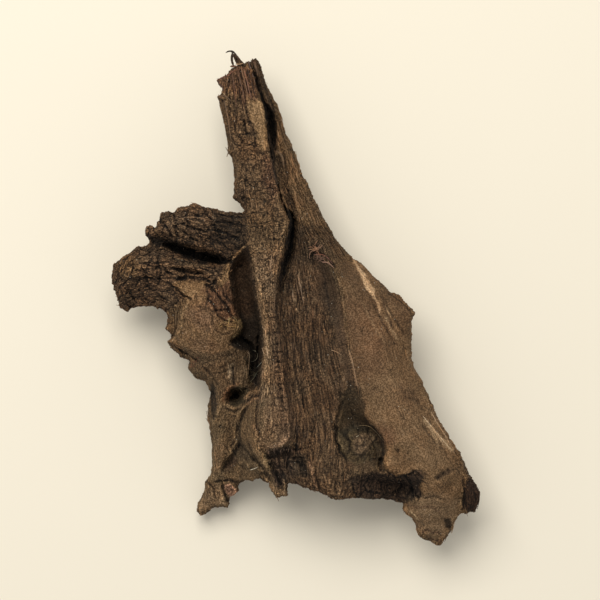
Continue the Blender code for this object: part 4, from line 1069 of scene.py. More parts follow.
def reliefTree():
    # moves each point along its normal: fibre grooves, cubical blocks, cross checks, grit and slow lumps
    tree = bpy.data.node_groups.new("weatheredRelief", "GeometryNodeTree")
    graph, wire = interfaceOf(tree, {name: "Float" for name in relief})

    layer = graph.layer
    grain = layer("grain", "FLOAT_VECTOR")
    position = graph.add("GeometryNodeInputPosition", {}, {})
    normal = graph.add("GeometryNodeInputNormal", {}, {})

    # long fibres: narrow valleys where a drawn-out noise crosses its middle
    streak = graph.noise(graph.stretched(grain, (1.0, 0.02, 0.5)), 1 / wire["Fibre Spacing"], 2.0, 0.6)
    valley = 1 - graph.smooth(graph.maths("ABSOLUTE", streak - 0.5), 0.0, 0.07)
    broad = graph.noise(graph.stretched(grain, (1.0, 0.02, 0.5), (31, 7, 3)), 0.28 / wire["Fibre Spacing"])
    gate = graph.smooth(graph.noise(graph.stretched(grain, (1.0, 0.1, 1.0)), 0.25, 2.0), 0.3, 0.6)
    fibres = (valley * (0.35 + gate) + (broad - 0.5) * 3.0) * layer("fibres") * wire["Fibre Depth"]

    # cubical blocks of the charred-looking arms, and long furrows between rows of them
    edge = graph.joints(grain, wire["Block Size"], blockStretch)
    place = graph.stretched(graph.bent(grain, 4.0, 3.2), blockStretch)
    each = graph.add("ShaderNodeTexVoronoi", {}, {"Vector": place, "Scale": 1 / wire["Block Size"]}, 1)
    uneven = graph.smooth(graph.noise(grain, 0.2, 3.0, 0.6), 0.35, 0.6)
    crack = (1 - graph.smooth(edge, 0.1, 0.7)) * (0.2 + uneven)
    furrows = graph.noise(graph.stretched(grain, (1.0, 0.12, 0.8), (9, 4, 1)), 0.24, 3.0, 0.6)
    furrow = 1 - graph.smooth(graph.maths("ABSOLUTE", furrows - 0.5), 0.0, 0.04)
    raised = (graph.maths("MULTIPLY", each, 1.0) - 0.5) * wire["Block Height"]
    cubes = (raised - (crack + furrow * 0.7) * wire["Block Crack"]) * layer("blocks")

    # checks across the strap, open in some places only, and short dashes along it
    wide = graph.smooth(graph.noise(grain, 0.25, 2.0), 0.42, 0.6)
    across = (1 - graph.smooth(graph.joints(grain, wire["Check Size"], checkStretch), 0.06, 0.45)) * wide
    dash = graph.smooth(graph.noise(graph.stretched(grain, (1.0, 0.3, 1.0), (5, 2, 8)), 0.8), 0.56, 0.66)
    checks = (across + dash * 0.8) * layer("checks") * wire["Check Depth"]

    slow = (graph.noise(position, 140.0, 3.0, 0.55) - 0.5) * wire["Lump Height"]
    grit = (graph.noise(position, 1000.0, 3.0, 0.65) - 0.5) * layer("grit") * (1 - layer("fibres") * 0.45)
    grit = grit * wire["Grit"] * 2.0
    ragged = (graph.noise(position, 380.0, 3.0, 0.7) - 0.52) * layer("ragged") * wire["Ragged Rim"] * 2.0
    height = (slow + grit + ragged + cubes - fibres - checks) * mm
    offset = graph.scaled(normal, height)
    marks = furrow * layer("blocks") + dash * 0.8 * layer("checks")
    marks = marks + valley * (0.2 + gate * 0.5) * layer("fibres")
    kept = graph.add("GeometryNodeStoreNamedAttribute", {"data_type": "FLOAT", "domain": "POINT"},
                     {"Geometry": wire["Geometry"], "Name": "cracks",
                      "Value": graph.maths("MINIMUM", marks, 1.0)})
    moved = graph.add("GeometryNodeSetPosition", {}, {"Geometry": kept, "Offset": offset})
    finishTree(tree, moved)
    return tree


def withTree(obj, tree, values):
    # a Geometry Nodes modifier, its inputs set by their sockets' identifiers
    step = obj.modifiers.new(tree.name, "NODES")
    step.node_group = tree
    for item in tree.interface.items_tree:
        if item.in_out == "INPUT" and item.name in values:
            step[item.identifier] = values[item.name]
    return step


def neighbourMean(obj):
    # a function that averages values over each point's neighbours
    ends = np.empty(len(obj.data.edges) * 2, np.int32)
    obj.data.edges.foreach_get("vertices", ends)
    here, there = ends.reshape(-1, 2).T
    both, other = np.concatenate([here, there]), np.concatenate([there, here])
    count = np.bincount(both, minlength=len(obj.data.vertices))

    def mean(values):
        sums = [np.bincount(both, column[other], len(count)) for column in values.T]
        return np.column_stack(sums) / count[:, None]

    return mean


def sunkBelow(points, normals, mean, passes):
    # how far each point lies below its smoothed surroundings, in millimetres
    soft = points
    for _ in range(passes):
        soft = mean(soft)
    return ((soft - points) * normals).sum(axis=1)

# How smooth the parts are that have little grain, from 0 to 1
smoothParts = {
    "wingSmooth": 1.0, "calm": 1.0, "calmLegs": 0.8, "plainLegs": 0.5, "paleWood": 0.8, "lobe": 0.7,
    "crevice": 0.8, "calmCavity": 0.4, "calmEnd": 0.3, "strapFoot": 0.7,
}


def makeBody():
    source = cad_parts["driftwood"]
    obj = bpy.data.objects.new("driftwood_wood", source.data.copy())
    scene.collection.objects.link(obj)
    weld = obj.modifiers.new("merged", "WELD")
    weld.merge_threshold = 0.00001
    obj = plain(obj, "driftwood_wood")
    underside = undersideOf(obj)
    obj = remeshed(obj, body["firstVoxel"], body["firstPasses"])
    obj = remeshed(obj, body["fineVoxel"], 1)
    print("skin:", len(obj.data.vertices), "points")
    setPoints(obj, carved(pointsOf(obj), normalsOf(obj), underside))
    obj = remeshed(obj, body["fineVoxel"], 1)
    print("carved:", len(obj.data.vertices), "points")

    points, normals = pointsOf(obj), normalsOf(obj)
    grain = grainOf(points)
    zone = {name: within(points, fromPhoto(edge), 2) for name, edge in places.items()}
    strap = eased(grain[:, 0], -1, 1) * (1 - eased(grain[:, 0], *body["strapReach"])) * (1 - zone["arms"])
    onStrap = strap * (1 - eased(-points[:, 1], 70, 76))
    smoothed = np.maximum.reduce([zone[name] * share for name, share in smoothParts.items()])
    onStrap *= (1 - 0.7 * zone["tornTop"]) * (1 - 0.6 * zone["strapFoot"])
    onStrap *= 1 - 0.8 * within(points, fromPhoto(places["strapCrest"]), 1)
    onStrap *= 1 - 0.85 * within(points, fromPhoto(places["paleWood"]), 0.5)
    storeOn(obj, "grain", grain)
    fibres = 1 - 0.85 * zone["arms"] - 0.9 * zone["lobe"] - 0.82 * smoothed - 0.6 * onStrap
    storeOn(obj, "fibres", np.clip(fibres, 0.1, 1))
    storeOn(obj, "blocks", np.maximum.reduce([zone["arms"] * (1 - zone["lobe"]), 0.8 * zone["calmCavity"],
                                              0.6 * zone["calmEnd"], 0.5 * zone["knobTop"]]))
    storeOn(obj, "checks", np.clip(onStrap + 0.25 * (1 - smoothed) * (1 - zone["arms"]), 0, 1))
    storeOn(obj, "strap", strap * (1 - eased(-points[:, 1], 72, 76)) * (1 - 0.8 * zone["paleWood"]))
    storeOn(obj, "grit", 1 - 0.6 * smoothed)
    sideways = 1 - np.abs(normals[:, 2])
    storeOn(obj, "ragged", eased(sideways, 0.45, 0.95))
    withTree(obj, reliefTree(), relief)
    obj = plain(obj, obj.name)

    keepInBox(obj)
    points, normals = pointsOf(obj), normalsOf(obj)
    mean = neighbourMean(obj)
    storeOn(obj, "hollow", sunkBelow(points, normals, mean, body["hollowPasses"]))
    storeOn(obj, "basin", sunkBelow(points, normals, mean, body["basinPasses"]))
    print("hollows measured")
    front = eased(normals[:, 2], -0.6, 0.0)
    group = obj.vertex_groups.new(name="seen")
    steps = body["wallSteps"]
    for level in range(steps + 1):
        chosen = np.nonzero(np.round(front * steps) == level)[0]
        group.add(chosen.tolist(), body["backShare"] + (1 - body["backShare"]) * level / steps, "REPLACE")
    obj.data.calc_loop_triangles()
    fewer = obj.modifiers.new("fewer faces", "DECIMATE")
    fewer.ratio = body["askedTriangles"] / len(obj.data.loop_triangles)
    fewer.vertex_group = "seen"
    fewer.invert_vertex_group = True
    fewer.vertex_group_factor = 1.0
    fewer.use_collapse_triangulate = True
    obj = plain(obj, obj.name)
    obj.vertex_groups.clear()
    keepInBox(obj)
    print("decimated:", len(obj.data.polygons), "faces")

    points, normals = pointsOf(obj), normalsOf(obj)
    storeOn(obj, "tone", tonesOf(points, normals))
    storeOn(obj, "grain", grainOf(points))
    obj.data.shade_smooth()
    return obj


# Strands: slivers, hairs, tufts and torn fringes

# Single strands: colour, thickness at the start and at the end, lift above the wood, and the path in photo
# pixels. A path point with a third number has that height instead. Thickness, lift and height in millimetres.
slivers = {
    "hookLeft": ((60, 48, 36), 1.5, 1.0, 0, [(233, 53, 38), (231.5, 57, 37.5), (232, 62, 36.5),
        (234, 67, 35)]),
    "hookTip": ((52, 42, 31), 1.2, 0.5, 0, [(235, 53, 38), (232, 51, 38.4), (228, 51, 38),
        (225.5, 53, 37)]),
    "hookRight": ((64, 50, 37), 1.0, 1.6, 0, [(234, 52, 38), (237, 57, 38), (241, 62, 37),
        (246, 67, 35.5)]),
    "hookMiddle": ((58, 44, 33), 0.7, 0.9, 0, [(234, 54, 38), (234, 58, 38), (237, 63, 37), (239, 67, 35)]),
    "hookBase": ((84, 62, 48), 1.2, 0.8, 0, [(230, 66.5, 35), (235, 66, 35.5), (241, 68, 35.5)]),
    "hookPale": ((178, 150, 122), 0.5, 0.4, 0, [(235, 64, 37.6), (239, 64.6, 37.6), (244, 62.8, 37.4)]),
    "leftLip": ((112, 76, 66), 0.8, 0.5, 0.2, [(218, 80), (222, 77.5), (227, 76), (231, 73), (235, 70)]),
    "leftLipLow": ((88, 62, 52), 0.8, 0.6, 0.1, [(218, 81), (221, 85), (224, 90), (226, 94)]),
    "notchUpper": ((158, 136, 108), 0.5, 0.3, 0.2, [(225, 95), (222, 92), (220, 89.5)]),
    "notchLower": ((86, 66, 50), 0.8, 0.5, 0.2, [(219, 98), (223, 95), (227, 97), (231, 101)]),
    "innerStrip": ((86, 68, 60), 1.8, 0.7, 0.6, [(248.5, 61, 33), (249, 66, 33), (251, 74, 33),
        (254, 83, 33), (257, 92, 32), (259, 100, 31)]),
    "innerStripPale": ((132, 112, 102), 0.5, 0.4, 1.0, [(250, 67, 34), (253, 76, 34), (256, 86, 33.6)]),
    "stripTop": ((80, 62, 47), 0.9, 1.2, 0.2, [(252, 58.5), (254, 62), (256, 68), (258, 76)]),
    "innerEdge": ((40, 30, 25), 0.7, 0.5, 0.1, [(247, 68), (250, 78), (253, 88), (256, 98)]),
    "slatTop": ((92, 72, 52), 1.0, 1.6, 0.2, [(276, 151), (280, 153), (283, 159), (284, 168)]),
    "redRibOne": ((104, 76, 58), 0.7, 0.5, 0.1, [(238, 70), (240, 80), (243, 91), (245, 104)]),
    "redRibTwo": ((104, 74, 58), 0.8, 0.5, 0.1, [(244, 69), (247, 80), (249, 90), (252, 99)]),
    "redRibThree": ((96, 70, 54), 0.7, 0.5, 0.1, [(232, 74), (234, 84), (235, 96), (237, 108)]),
    "redRibFour": ((110, 82, 62), 0.6, 0.4, 0.1, [(241, 68), (244, 78), (247, 92), (248, 100)]),
    "leftRib": ((92, 72, 54), 0.8, 0.6, 0.1, [(224, 100), (227, 112), (229, 124), (231, 140)]),
    "edgeFibreHigh": ((176, 150, 120), 0.7, 0.4, 0.2, [(423, 416), (430, 425), (440, 437), (452, 451)]),
    "edgeFibreMiddle": ((160, 134, 104), 0.6, 0.4, 0.2, [(426, 420), (434, 431), (441, 441), (446, 449)]),
    "edgeFibreOuter": ((150, 122, 94), 0.6, 0.4, 0.2, [(431, 412), (437, 423), (445, 435), (451, 446)]),
    "creamLip": ((178, 148, 114), 0.6, 0.3, 0.1, [(354, 261), (361, 271), (368, 282), (374, 294),
        (378, 306)]),
    "whiteThread": ((176, 164, 142), 0.4, 0.4, 0.3, [(250, 470), (254, 469), (258, 467)]),
}
hairs = {
    "ringInCrevice": ((120, 118, 104), 0.35, 0.3, 1.5, [(252, 350), (256, 351), (258, 355), (257, 359),
        (253, 362), (250, 361)]),
    "creviceBright": ((160, 158, 142), 0.45, 0.3, 1.5, [(257, 368), (259, 365), (262, 362)]),
    "creviceLow": ((96, 92, 76), 0.35, 0.3, 1.2, [(250, 382), (254, 378), (257, 372), (261, 368)]),
    "creviceHigh": ((84, 80, 66), 0.35, 0.3, 1.0, [(244, 356), (249, 364), (256, 369)]),
    "lobeShort": ((172, 150, 108), 0.5, 0.4, 0.5, [(229, 317), (229.5, 320), (228.5, 322)]),
    "lobeArc": ((150, 126, 88), 0.4, 0.3, 0.4, [(219, 326), (221, 323), (225, 321.5), (230, 323)]),
    "lobeArcTwo": ((138, 116, 80), 0.4, 0.3, 0.4, [(232, 316), (237, 320), (239, 326), (236, 332),
        (232, 334)]),
    "knobHair": ((112, 98, 76), 0.35, 0.3, 0.4, [(358, 426), (364, 425), (371, 427), (378, 434),
        (384, 441)]),
    "knobShort": ((196, 176, 146), 0.5, 0.3, 0.4, [(356, 437), (359, 435.5)]),
    "faceHair": ((156, 132, 106), 0.35, 0.3, 0.4, [(331, 350), (337, 352), (343, 356)]),
    "faceFibreOne": ((128, 106, 84), 0.5, 0.3, 0.2, [(350, 352), (353, 364), (356, 378), (358, 388)]),
    "faceFibreTwo": ((120, 98, 78), 0.5, 0.3, 0.2, [(298, 274), (301, 290), (304, 306)]),
    "pinkStrand": ((122, 92, 76), 0.7, 0.4, 0.6, [(322, 262), (327, 262), (331, 265), (334, 268)]),
    "pinkStrandTwo": ((112, 78, 64), 0.7, 0.4, 0.4, [(314, 255), (321, 254), (327, 257), (333, 264)]),
    "tuftCurl": ((128, 98, 78), 0.6, 0.4, 0.8, [(316, 250), (311, 251), (309, 255), (310, 259)]),
    "tuftLeft": ((140, 108, 84), 0.5, 0.3, 1.0, [(318, 249), (313, 249), (308, 250)]),
    "lowerLipFibre": ((136, 114, 90), 1.1, 0.7, 0.0, [(248, 351), (249.5, 357), (248.5, 364), (248, 372)]),
}

# Tufts: colour, number of fibres, shortest and longest, thickness, how high they stand, where they start
# and how far apart, in millimetres, with the centre in photo pixels
tufts = {
    "atTheKnot": ((126, 96, 76), 26, (1.0, 3.6), 0.42, 1.0, 1.7, (317, 249)),
    "belowTheKnot": ((104, 78, 62), 14, (1.5, 4.5), 0.4, 1.0, 1.8, (320, 258)),
    "onTheLobe": ((150, 124, 82), 12, (1.0, 3.0), 0.4, 0.7, 2.6, (229, 325)),
    "lobeLip": ((160, 132, 96), 10, (0.8, 2.2), 0.5, 0.6, 1.0, (237, 329)),
    "creviceFloor": ((98, 88, 66), 16, (1.5, 4.0), 0.3, 0.8, 3.4, (251, 374)),
    "lobeRed": ((98, 64, 50), 8, (0.8, 2.0), 0.5, 0.4, 1.8, (195, 362)),
}

# Torn fringes: colour, number, shortest and longest, thickness, the way they point in degrees from the right
# of the photo towards its top, the spread, and the edge that they stand on in photo pixels
fringes = {
    "tornTop": ((104, 76, 58), 16, (0.8, 2.2), 0.8, 110, 30, [(219, 80), (227, 75), (235, 69), (244, 68),
        (248, 66)]),
    "outerTop": ((92, 66, 54), 5, (0.8, 1.8), 0.8, 100, 20, [(252, 61), (257, 63)]),
    "leftEdge": ((88, 68, 52), 8, (0.6, 1.4), 0.6, 165, 35, [(220, 84), (223, 92), (220, 98), (222, 108)]),
    "slat": ((96, 74, 54), 6, (0.8, 2.0), 0.7, 100, 20, [(274, 152), (283, 153)]),
    "lowerArmTeeth": ((72, 55, 41), 16, (0.6, 1.4), 1.3, 275, 35, [(118, 305), (126, 307), (134, 304),
        (150, 303), (160, 305), (167, 311)]),
    "lobeEdge": ((84, 65, 48), 14, (0.5, 1.3), 1.1, 200, 45, [(168, 312), (169, 326), (170, 337),
        (170, 346), (188, 361), (190, 370), (203, 377)]),
    "strapEnd": ((82, 64, 50), 16, (1.0, 3.0), 0.7, 275, 16, [(268, 451), (278, 448), (290, 449),
        (298, 452)]),
    "sideKnob": ((50, 35, 26), 16, (0.3, 0.8), 1.1, 10, 60, [(468, 480), (473, 486), (478, 495), (477, 505),
        (470, 511)]),
    "wingCorner": ((96, 73, 52), 5, (0.5, 1.2), 0.8, 20, 40, [(398, 297), (406, 305), (413, 313),
        (410, 320)]),
    "wingEdge": ((120, 95, 70), 12, (0.6, 1.8), 0.6, 300, 20, [(418, 392), (428, 406), (438, 420),
        (450, 442), (460, 466)]),
    "bottomEdge": ((66, 50, 38), 14, (0.4, 1.0), 0.9, 270, 40, [(296, 484), (320, 499), (350, 502),
        (384, 504), (402, 505)]),
    "footEdge": ((104, 84, 64), 10, (0.5, 1.2), 0.9, 265, 50, [(200, 512), (210, 509), (224, 507),
        (232, 498), (262, 480), (276, 496), (285, 492)]),
    "cavityLip": ((92, 70, 50), 14, (0.6, 1.6), 0.6, 280, 40, [(388, 474), (398, 479), (410, 474),
        (422, 472)]),
    "outerEdge": ((98, 76, 54), 8, (0.4, 1.1), 0.6, 70, 25, [(262, 78), (275, 104), (289, 142), (303, 184),
        (322, 224)]),
}


def wayOntoWood(obj):
    # functions from places in photo pixels: to points on the wood as the camera sees them, and to whether
    # there is wood
    tree = BVHTree.FromObject(obj, bpy.context.evaluated_depsgraph_get())
    eye = np.array([*fromPhoto((photo["across"] / 2,) * 2), studio["cameraHeight"] / mm])
    level = studio["middleHeight"] / mm

    def isWood(place):
        hit = tree.ray_cast(Vector(eye * mm), Vector(np.array([*fromPhoto(place), level]) - eye))[0]
        return hit is not None and hit.z > 0

    def onto(places):
        found = []
        last = None
        for place in places:
            aim = np.array([*fromPhoto(place[:2]), level]) - eye
            if len(place) > 2:
                last = eye + aim * ((place[2] - eye[2]) / aim[2])
            else:
                hit = tree.ray_cast(Vector(eye * mm), Vector(aim))[0]
                if hit is not None and hit.z > 0:
                    last = np.array(hit) / mm
                else:  # beside the wood: at the height of the last point, or of the nearest wood
                    if last is None:
                        last = np.array(tree.find_nearest(Vector((eye + aim) * mm))[0]) / mm
                    last = eye + aim * ((last[2] - eye[2]) / aim[2])
            found.append(last)
        return np.array(found)

    return onto, isWood


def evenly(path, step):
    # the path with points every step along it
    path = np.array(path, float)
    along = np.concatenate([[0], np.cumsum(np.linalg.norm(np.diff(path, axis=0), axis=1))])
    places = np.linspace(0, along[-1], max(int(along[-1] / step), 2) + 1)
    made = np.column_stack([np.interp(places, along, column) for column in path.T])
    for _ in range(2):
        made[1:-1] = (made[:-2] + 2 * made[1:-1] + made[2:]) / 4
    return made


def strandsOf(onto, isWood, seed):
    # points, thickness and colour of every sliver, hair, tuft fibre and fringe fibre
    rng = np.random.default_rng(seed)
    made = {"slivers": [], "hairs": [], "fringes": []}
    up = np.array([0, 0, 1.0])

    def keep(kind, points, colour, thick):
        share = np.linspace(0, 1, len(points))
        ends = np.minimum(np.minimum(share / 0.15, (1 - share) / 0.3), 1) ** 0.6
        width = np.interp(share, (0, 1), thick) * (0.25 + 0.75 * ends) * rng.uniform(0.85, 1.15, len(points))
        tone = fromScreen(colour) * rng.uniform(0.75, 1.3)
        made[kind].append((points, width / 2, np.tile(tone, (len(points), 1))))

    for kind, strands in (("slivers", slivers), ("hairs", hairs)):
        for colour, first, last, lift, path in strands.values():
            points = onto(evenly(path, 1.2)) + up * lift
            keep(kind, evenly(points, 0.6), colour, (first, last))
    for colour, count, lengths, thick, rise, spread, centre in tufts.values():
        for _ in range(count):
            angle = rng.uniform(0, 2 * np.pi)
            turns = angle + rng.uniform(-1.2, 1.2) * np.linspace(0, 1, 6)
            length = rng.uniform(*lengths) / photo["mmPerPixel"]
            steps = np.column_stack([np.cos(turns), np.sin(turns)]) * length / 6
            path = np.array(centre) + rng.normal(0, spread, 2) + np.vstack([[0, 0], np.cumsum(steps, axis=0)])
            lift = np.sin(np.linspace(0.3, 2.9, 7)) * rise * rng.uniform(0.4, 1.0)
            keep("hairs", evenly(onto(path) + lift[:, None] * up, 0.6), colour, (thick, thick * 0.6))
    for colour, count, lengths, thick, heading, spread, edge in fringes.values():
        edge = evenly(edge, 1.0)
        for _ in range(count):
            start = edge[rng.integers(len(edge))] + rng.normal(0, 0.6, 2)
            inward = np.array([-np.cos(np.radians(heading)), np.sin(np.radians(heading))])
            start = next((start + inward * (k + 0.8) for k in range(8) if isWood(start + inward * k)), None)
            if start is None:
                continue
            turns = np.radians(heading + rng.normal(0, spread) + rng.uniform(-15, 15) * np.linspace(0, 1, 4))
            length = rng.uniform(*lengths) / photo["mmPerPixel"]
            steps = np.column_stack([np.cos(turns), -np.sin(turns)]) * length / 4
            path = start + np.vstack([[0, 0], np.cumsum(steps, axis=0)])
            points = onto(path[:1])[0] + np.column_stack([(path - path[0]) * (0.5, -0.5), np.zeros(5)])
            points = points - up * 0.1 + rng.uniform(-0.2, 0.5) * np.linspace(0, 1, 5)[:, None] * up
            keep("fringes", evenly(points, 0.5), colour, (thick, thick * 0.4))
    return made


def strandTree():
    # edges to round strands: radius from the points, closed at both ends, bent a little by a noise
    tree = bpy.data.node_groups.new("strands", "GeometryNodeTree")
    graph, wire = interfaceOf(tree, {"Wobble": "Float", "Material": "Material"})
    radius = graph.layer("thickness")
    position = graph.add("GeometryNodeInputPosition", {}, {})
    shake = graph.add("ShaderNodeVectorMath", {"operation": "SUBTRACT"},
                      {0: graph.noise(position, 700.0, 2.0, 0.5, 1), 1: (0.5, 0.5, 0.5)})
    shift = graph.scaled(shake, wire["Wobble"] * mm)
    curves = graph.add("GeometryNodeMeshToCurve", {}, {"Mesh": wire["Geometry"]})
    curves = graph.add("GeometryNodeSetPosition", {}, {"Geometry": curves, "Offset": shift})
    ring = graph.add("GeometryNodeCurvePrimitiveCircle", {}, {"Resolution": 6, "Radius": 1.0})
    tubes = graph.add("GeometryNodeCurveToMesh", {},
                      {"Curve": curves, "Profile Curve": ring, "Scale": radius, "Fill Caps": True})
    joined = graph.add("GeometryNodeRealizeInstances", {}, {"Geometry": tubes})
    coloured = graph.add("GeometryNodeSetMaterial", {}, {"Geometry": joined, "Material": wire["Material"]})
    finishTree(tree, coloured)
    return tree


def makeStrands(name, strands, tree, material, wobble):
    points = np.vstack([points for points, _, _ in strands])
    edges = []
    for first, (part, _, _) in zip(np.cumsum([0] + [len(part) for part, _, _ in strands]), strands):
        edges += [(first + k, first + k + 1) for k in range(len(part) - 1)]
    mesh = bpy.data.meshes.new(name)
    mesh.from_pydata(points * mm, edges, [])
    obj = bpy.data.objects.new(name, mesh)
    scene.collection.objects.link(obj)
    storeOn(obj, "thickness", np.concatenate([width for _, width, _ in strands]) * mm)
    storeOn(obj, "tone", np.vstack([tone for _, _, tone in strands]))
    withTree(obj, tree, {"Wobble": wobble, "Material": material})
    obj = plain(obj, name)
    keepInBox(obj)
    obj.data.shade_smooth()
    print(name, len(obj.data.polygons), "faces")
    return obj


def keepInBox(obj):
    lowest, highest = (np.array(corner) / mm for corner in cadBox)
    setPoints(obj, np.clip(pointsOf(obj), lowest + 0.02, highest - 0.02))


# Splinters and sand grains strewn over the wood

strewn = {
    "splintersPerSquareCm": 6.5,
    "splinter": (0.15, 2.3, 0.14),  # half its width, length and height in millimetres
    "grainsPerSquareCm": 1.2,
    "grain": 0.16,  # its radius in millimetres
}


def strewnTree(name, shape, density, size, tilt):
    # closed shapes on the wood's faces, turned along the fibres
    tree = bpy.data.node_groups.new(name, "GeometryNodeTree")
    graph, wire = interfaceOf(tree, {"Per Square Metre": "Float", "Smallest": "Float", "Largest": "Float",
                                     "Seed": "Int", "Material": "Material"})
    thick = graph.layer(density)
    points = graph.add("GeometryNodeDistributePointsOnFaces", {}, {
        "Mesh": wire["Geometry"], "Density": thick * wire["Per Square Metre"], "Seed": wire["Seed"]})
    normal = Wire(graph, points.socket.node.outputs["Normal"])
    along = graph.layer("along", "FLOAT_VECTOR")
    turned = graph.add("FunctionNodeAlignRotationToVector", {"axis": "Z"}, {"Vector": normal})
    turned = graph.add("FunctionNodeAlignRotationToVector", {"axis": "Y", "pivot_axis": "Z"},
                       {"Rotation": turned, "Vector": along})
    lean = graph.randomVector((-tilt * 0.6, -0.2, -tilt * 1.5), (tilt, 0.2, tilt * 1.5), 5)
    turned = graph.add("FunctionNodeRotateRotation", {"rotation_space": "LOCAL"}, {
        "Rotation": turned, "Rotate By": graph.add("FunctionNodeEulerToRotation", {}, {"Euler": lean})})
    share = graph.randomVector((0.6, 0.4, 0.6), (1.5, 1.6, 1.4), 6)
    big = graph.randomNumber(wire["Smallest"], wire["Largest"], 7)
    scale = graph.scaled(graph.stretched(share, tuple(side * mm for side in size)), big)
    kind, sockets = shape
    strewnShapes = graph.add("GeometryNodeInstanceOnPoints", {}, {
        "Points": points, "Instance": graph.add(kind, {}, sockets), "Rotation": turned, "Scale": scale})
    chance = graph.randomNumber(0.0, 1.0, 8)
    marked = graph.add("GeometryNodeStoreNamedAttribute", {"data_type": "FLOAT", "domain": "INSTANCE"},
                       {"Geometry": strewnShapes, "Name": "chance", "Value": chance})
    joined = graph.add("GeometryNodeRealizeInstances", {}, {"Geometry": marked})
    coloured = graph.add("GeometryNodeSetMaterial", {}, {"Geometry": joined, "Material": wire["Material"]})
    finishTree(tree, coloured)
    return tree


def valuesOf(obj, name):
    values = np.empty(len(obj.data.vertices), np.float32)
    obj.data.attributes[name].data.foreach_get("value", values)
    return values.astype(float)


def makeStrewn(wood, name, tree, values):
    obj = bpy.data.objects.new(name, wood.data.copy())
    scene.collection.objects.link(obj)
    withTree(obj, tree, values)
    obj = plain(obj, name)
    keepInBox(obj)
    print(name, len(obj.data.polygons), "faces")
    return obj


def markForStrewing(wood):
    # where splinters and grains lie, and which way the fibres run
    points, normals = pointsOf(wood), normalsOf(wood)
    step = 0.4
    here = grainOf(points)[:, 0]
    across = [grainOf(points + step * np.array(way))[:, 0] - here for way in ((1, 0, 0), (0, 1, 0))]
    along = np.column_stack([-across[1], across[0], np.zeros(len(points))])
    along /= np.maximum(np.linalg.norm(along, axis=1), 1e-6)[:, None]
    along -= (along * normals).sum(axis=1)[:, None] * normals
    storeOn(wood, "along", along)
    top = eased(normals[:, 2], -0.2, 0.4)
    fibres, grit, hollow = (valuesOf(wood, name) for name in ("fibres", "grit", "hollow"))
    storeOn(wood, "splinterShare", top * np.clip(fibres * 1.1 - 0.1, 0.12, 1) * grit ** 2)
    storeOn(wood, "grainShare", top * (0.15 + eased(hollow, 0.0, 0.15)) * grit)


# Materials

def newMaterial(name):
    # a Principled shader and its graph
    material = bpy.data.materials.new(name)
    material.use_nodes = True
    tree = material.node_tree
    tree.nodes.clear()
    shader = tree.nodes.new("ShaderNodeBsdfPrincipled")
    out = tree.nodes.new("ShaderNodeOutputMaterial")
    tree.links.new(shader.outputs[0], out.inputs[0])
    return material, Graph(tree), shader


woodLook = {
    "brightness": 0.78,
    "streaks": 1.0,
    "speckles": 1.0,
    "dust": 1.7,
    "ashen": 0.22,  # how grey the palest bits are
    "rays": 0.5,
    "nicks": 1.1,
    "hairCracks": 0.75,
    "flecks": 0.8,
    "hollowShade": 0.72,
    "basinShade": 0.45,
    "crestLight": 0.6,
    "bumpDistance": 0.0008,
}


# Noises drawn out along the fibres: how much across, along and up, the shift, the size per millimetre, the
# octaves and how rough they are
woodNoises = {
    "streaks": ((1.0, 0.03, 0.8), (0, 0, 0), 0.6, 4.0, 0.65),
    "fineStreaks": ((1.0, 0.03, 0.8), (3, 5, 7), 1.4, 2.0, 0.7),
    "fibreDust": ((1.0, 0.06, 1.0), (6, 2, 4), 1.5, 1.0, 0.5),
    "drawn": ((1.0, 0.3, 1.0), (1, 9, 4), 0.9, 2.0, 0.7),
    "nicks": ((1.0, 0.2, 1.0), (2, 8, 5), 1.3, 1.0, 0.5),
    "rays": ((1.0, 0.07, 1.0), (4, 1, 9), 1.3, 1.0, 0.5),
    "flecks": ((1.0, 0.3, 1.0), (7, 7, 1), 2.1, 2.0, 0.7),
}
# The same in all directions, and the size per metre
evenNoises = {"mottle": (110.0, 4.0, 0.6), "speckle": (800.0, 2.0, 0.7), "dust": (1400.0, 1.0, 0.5)}


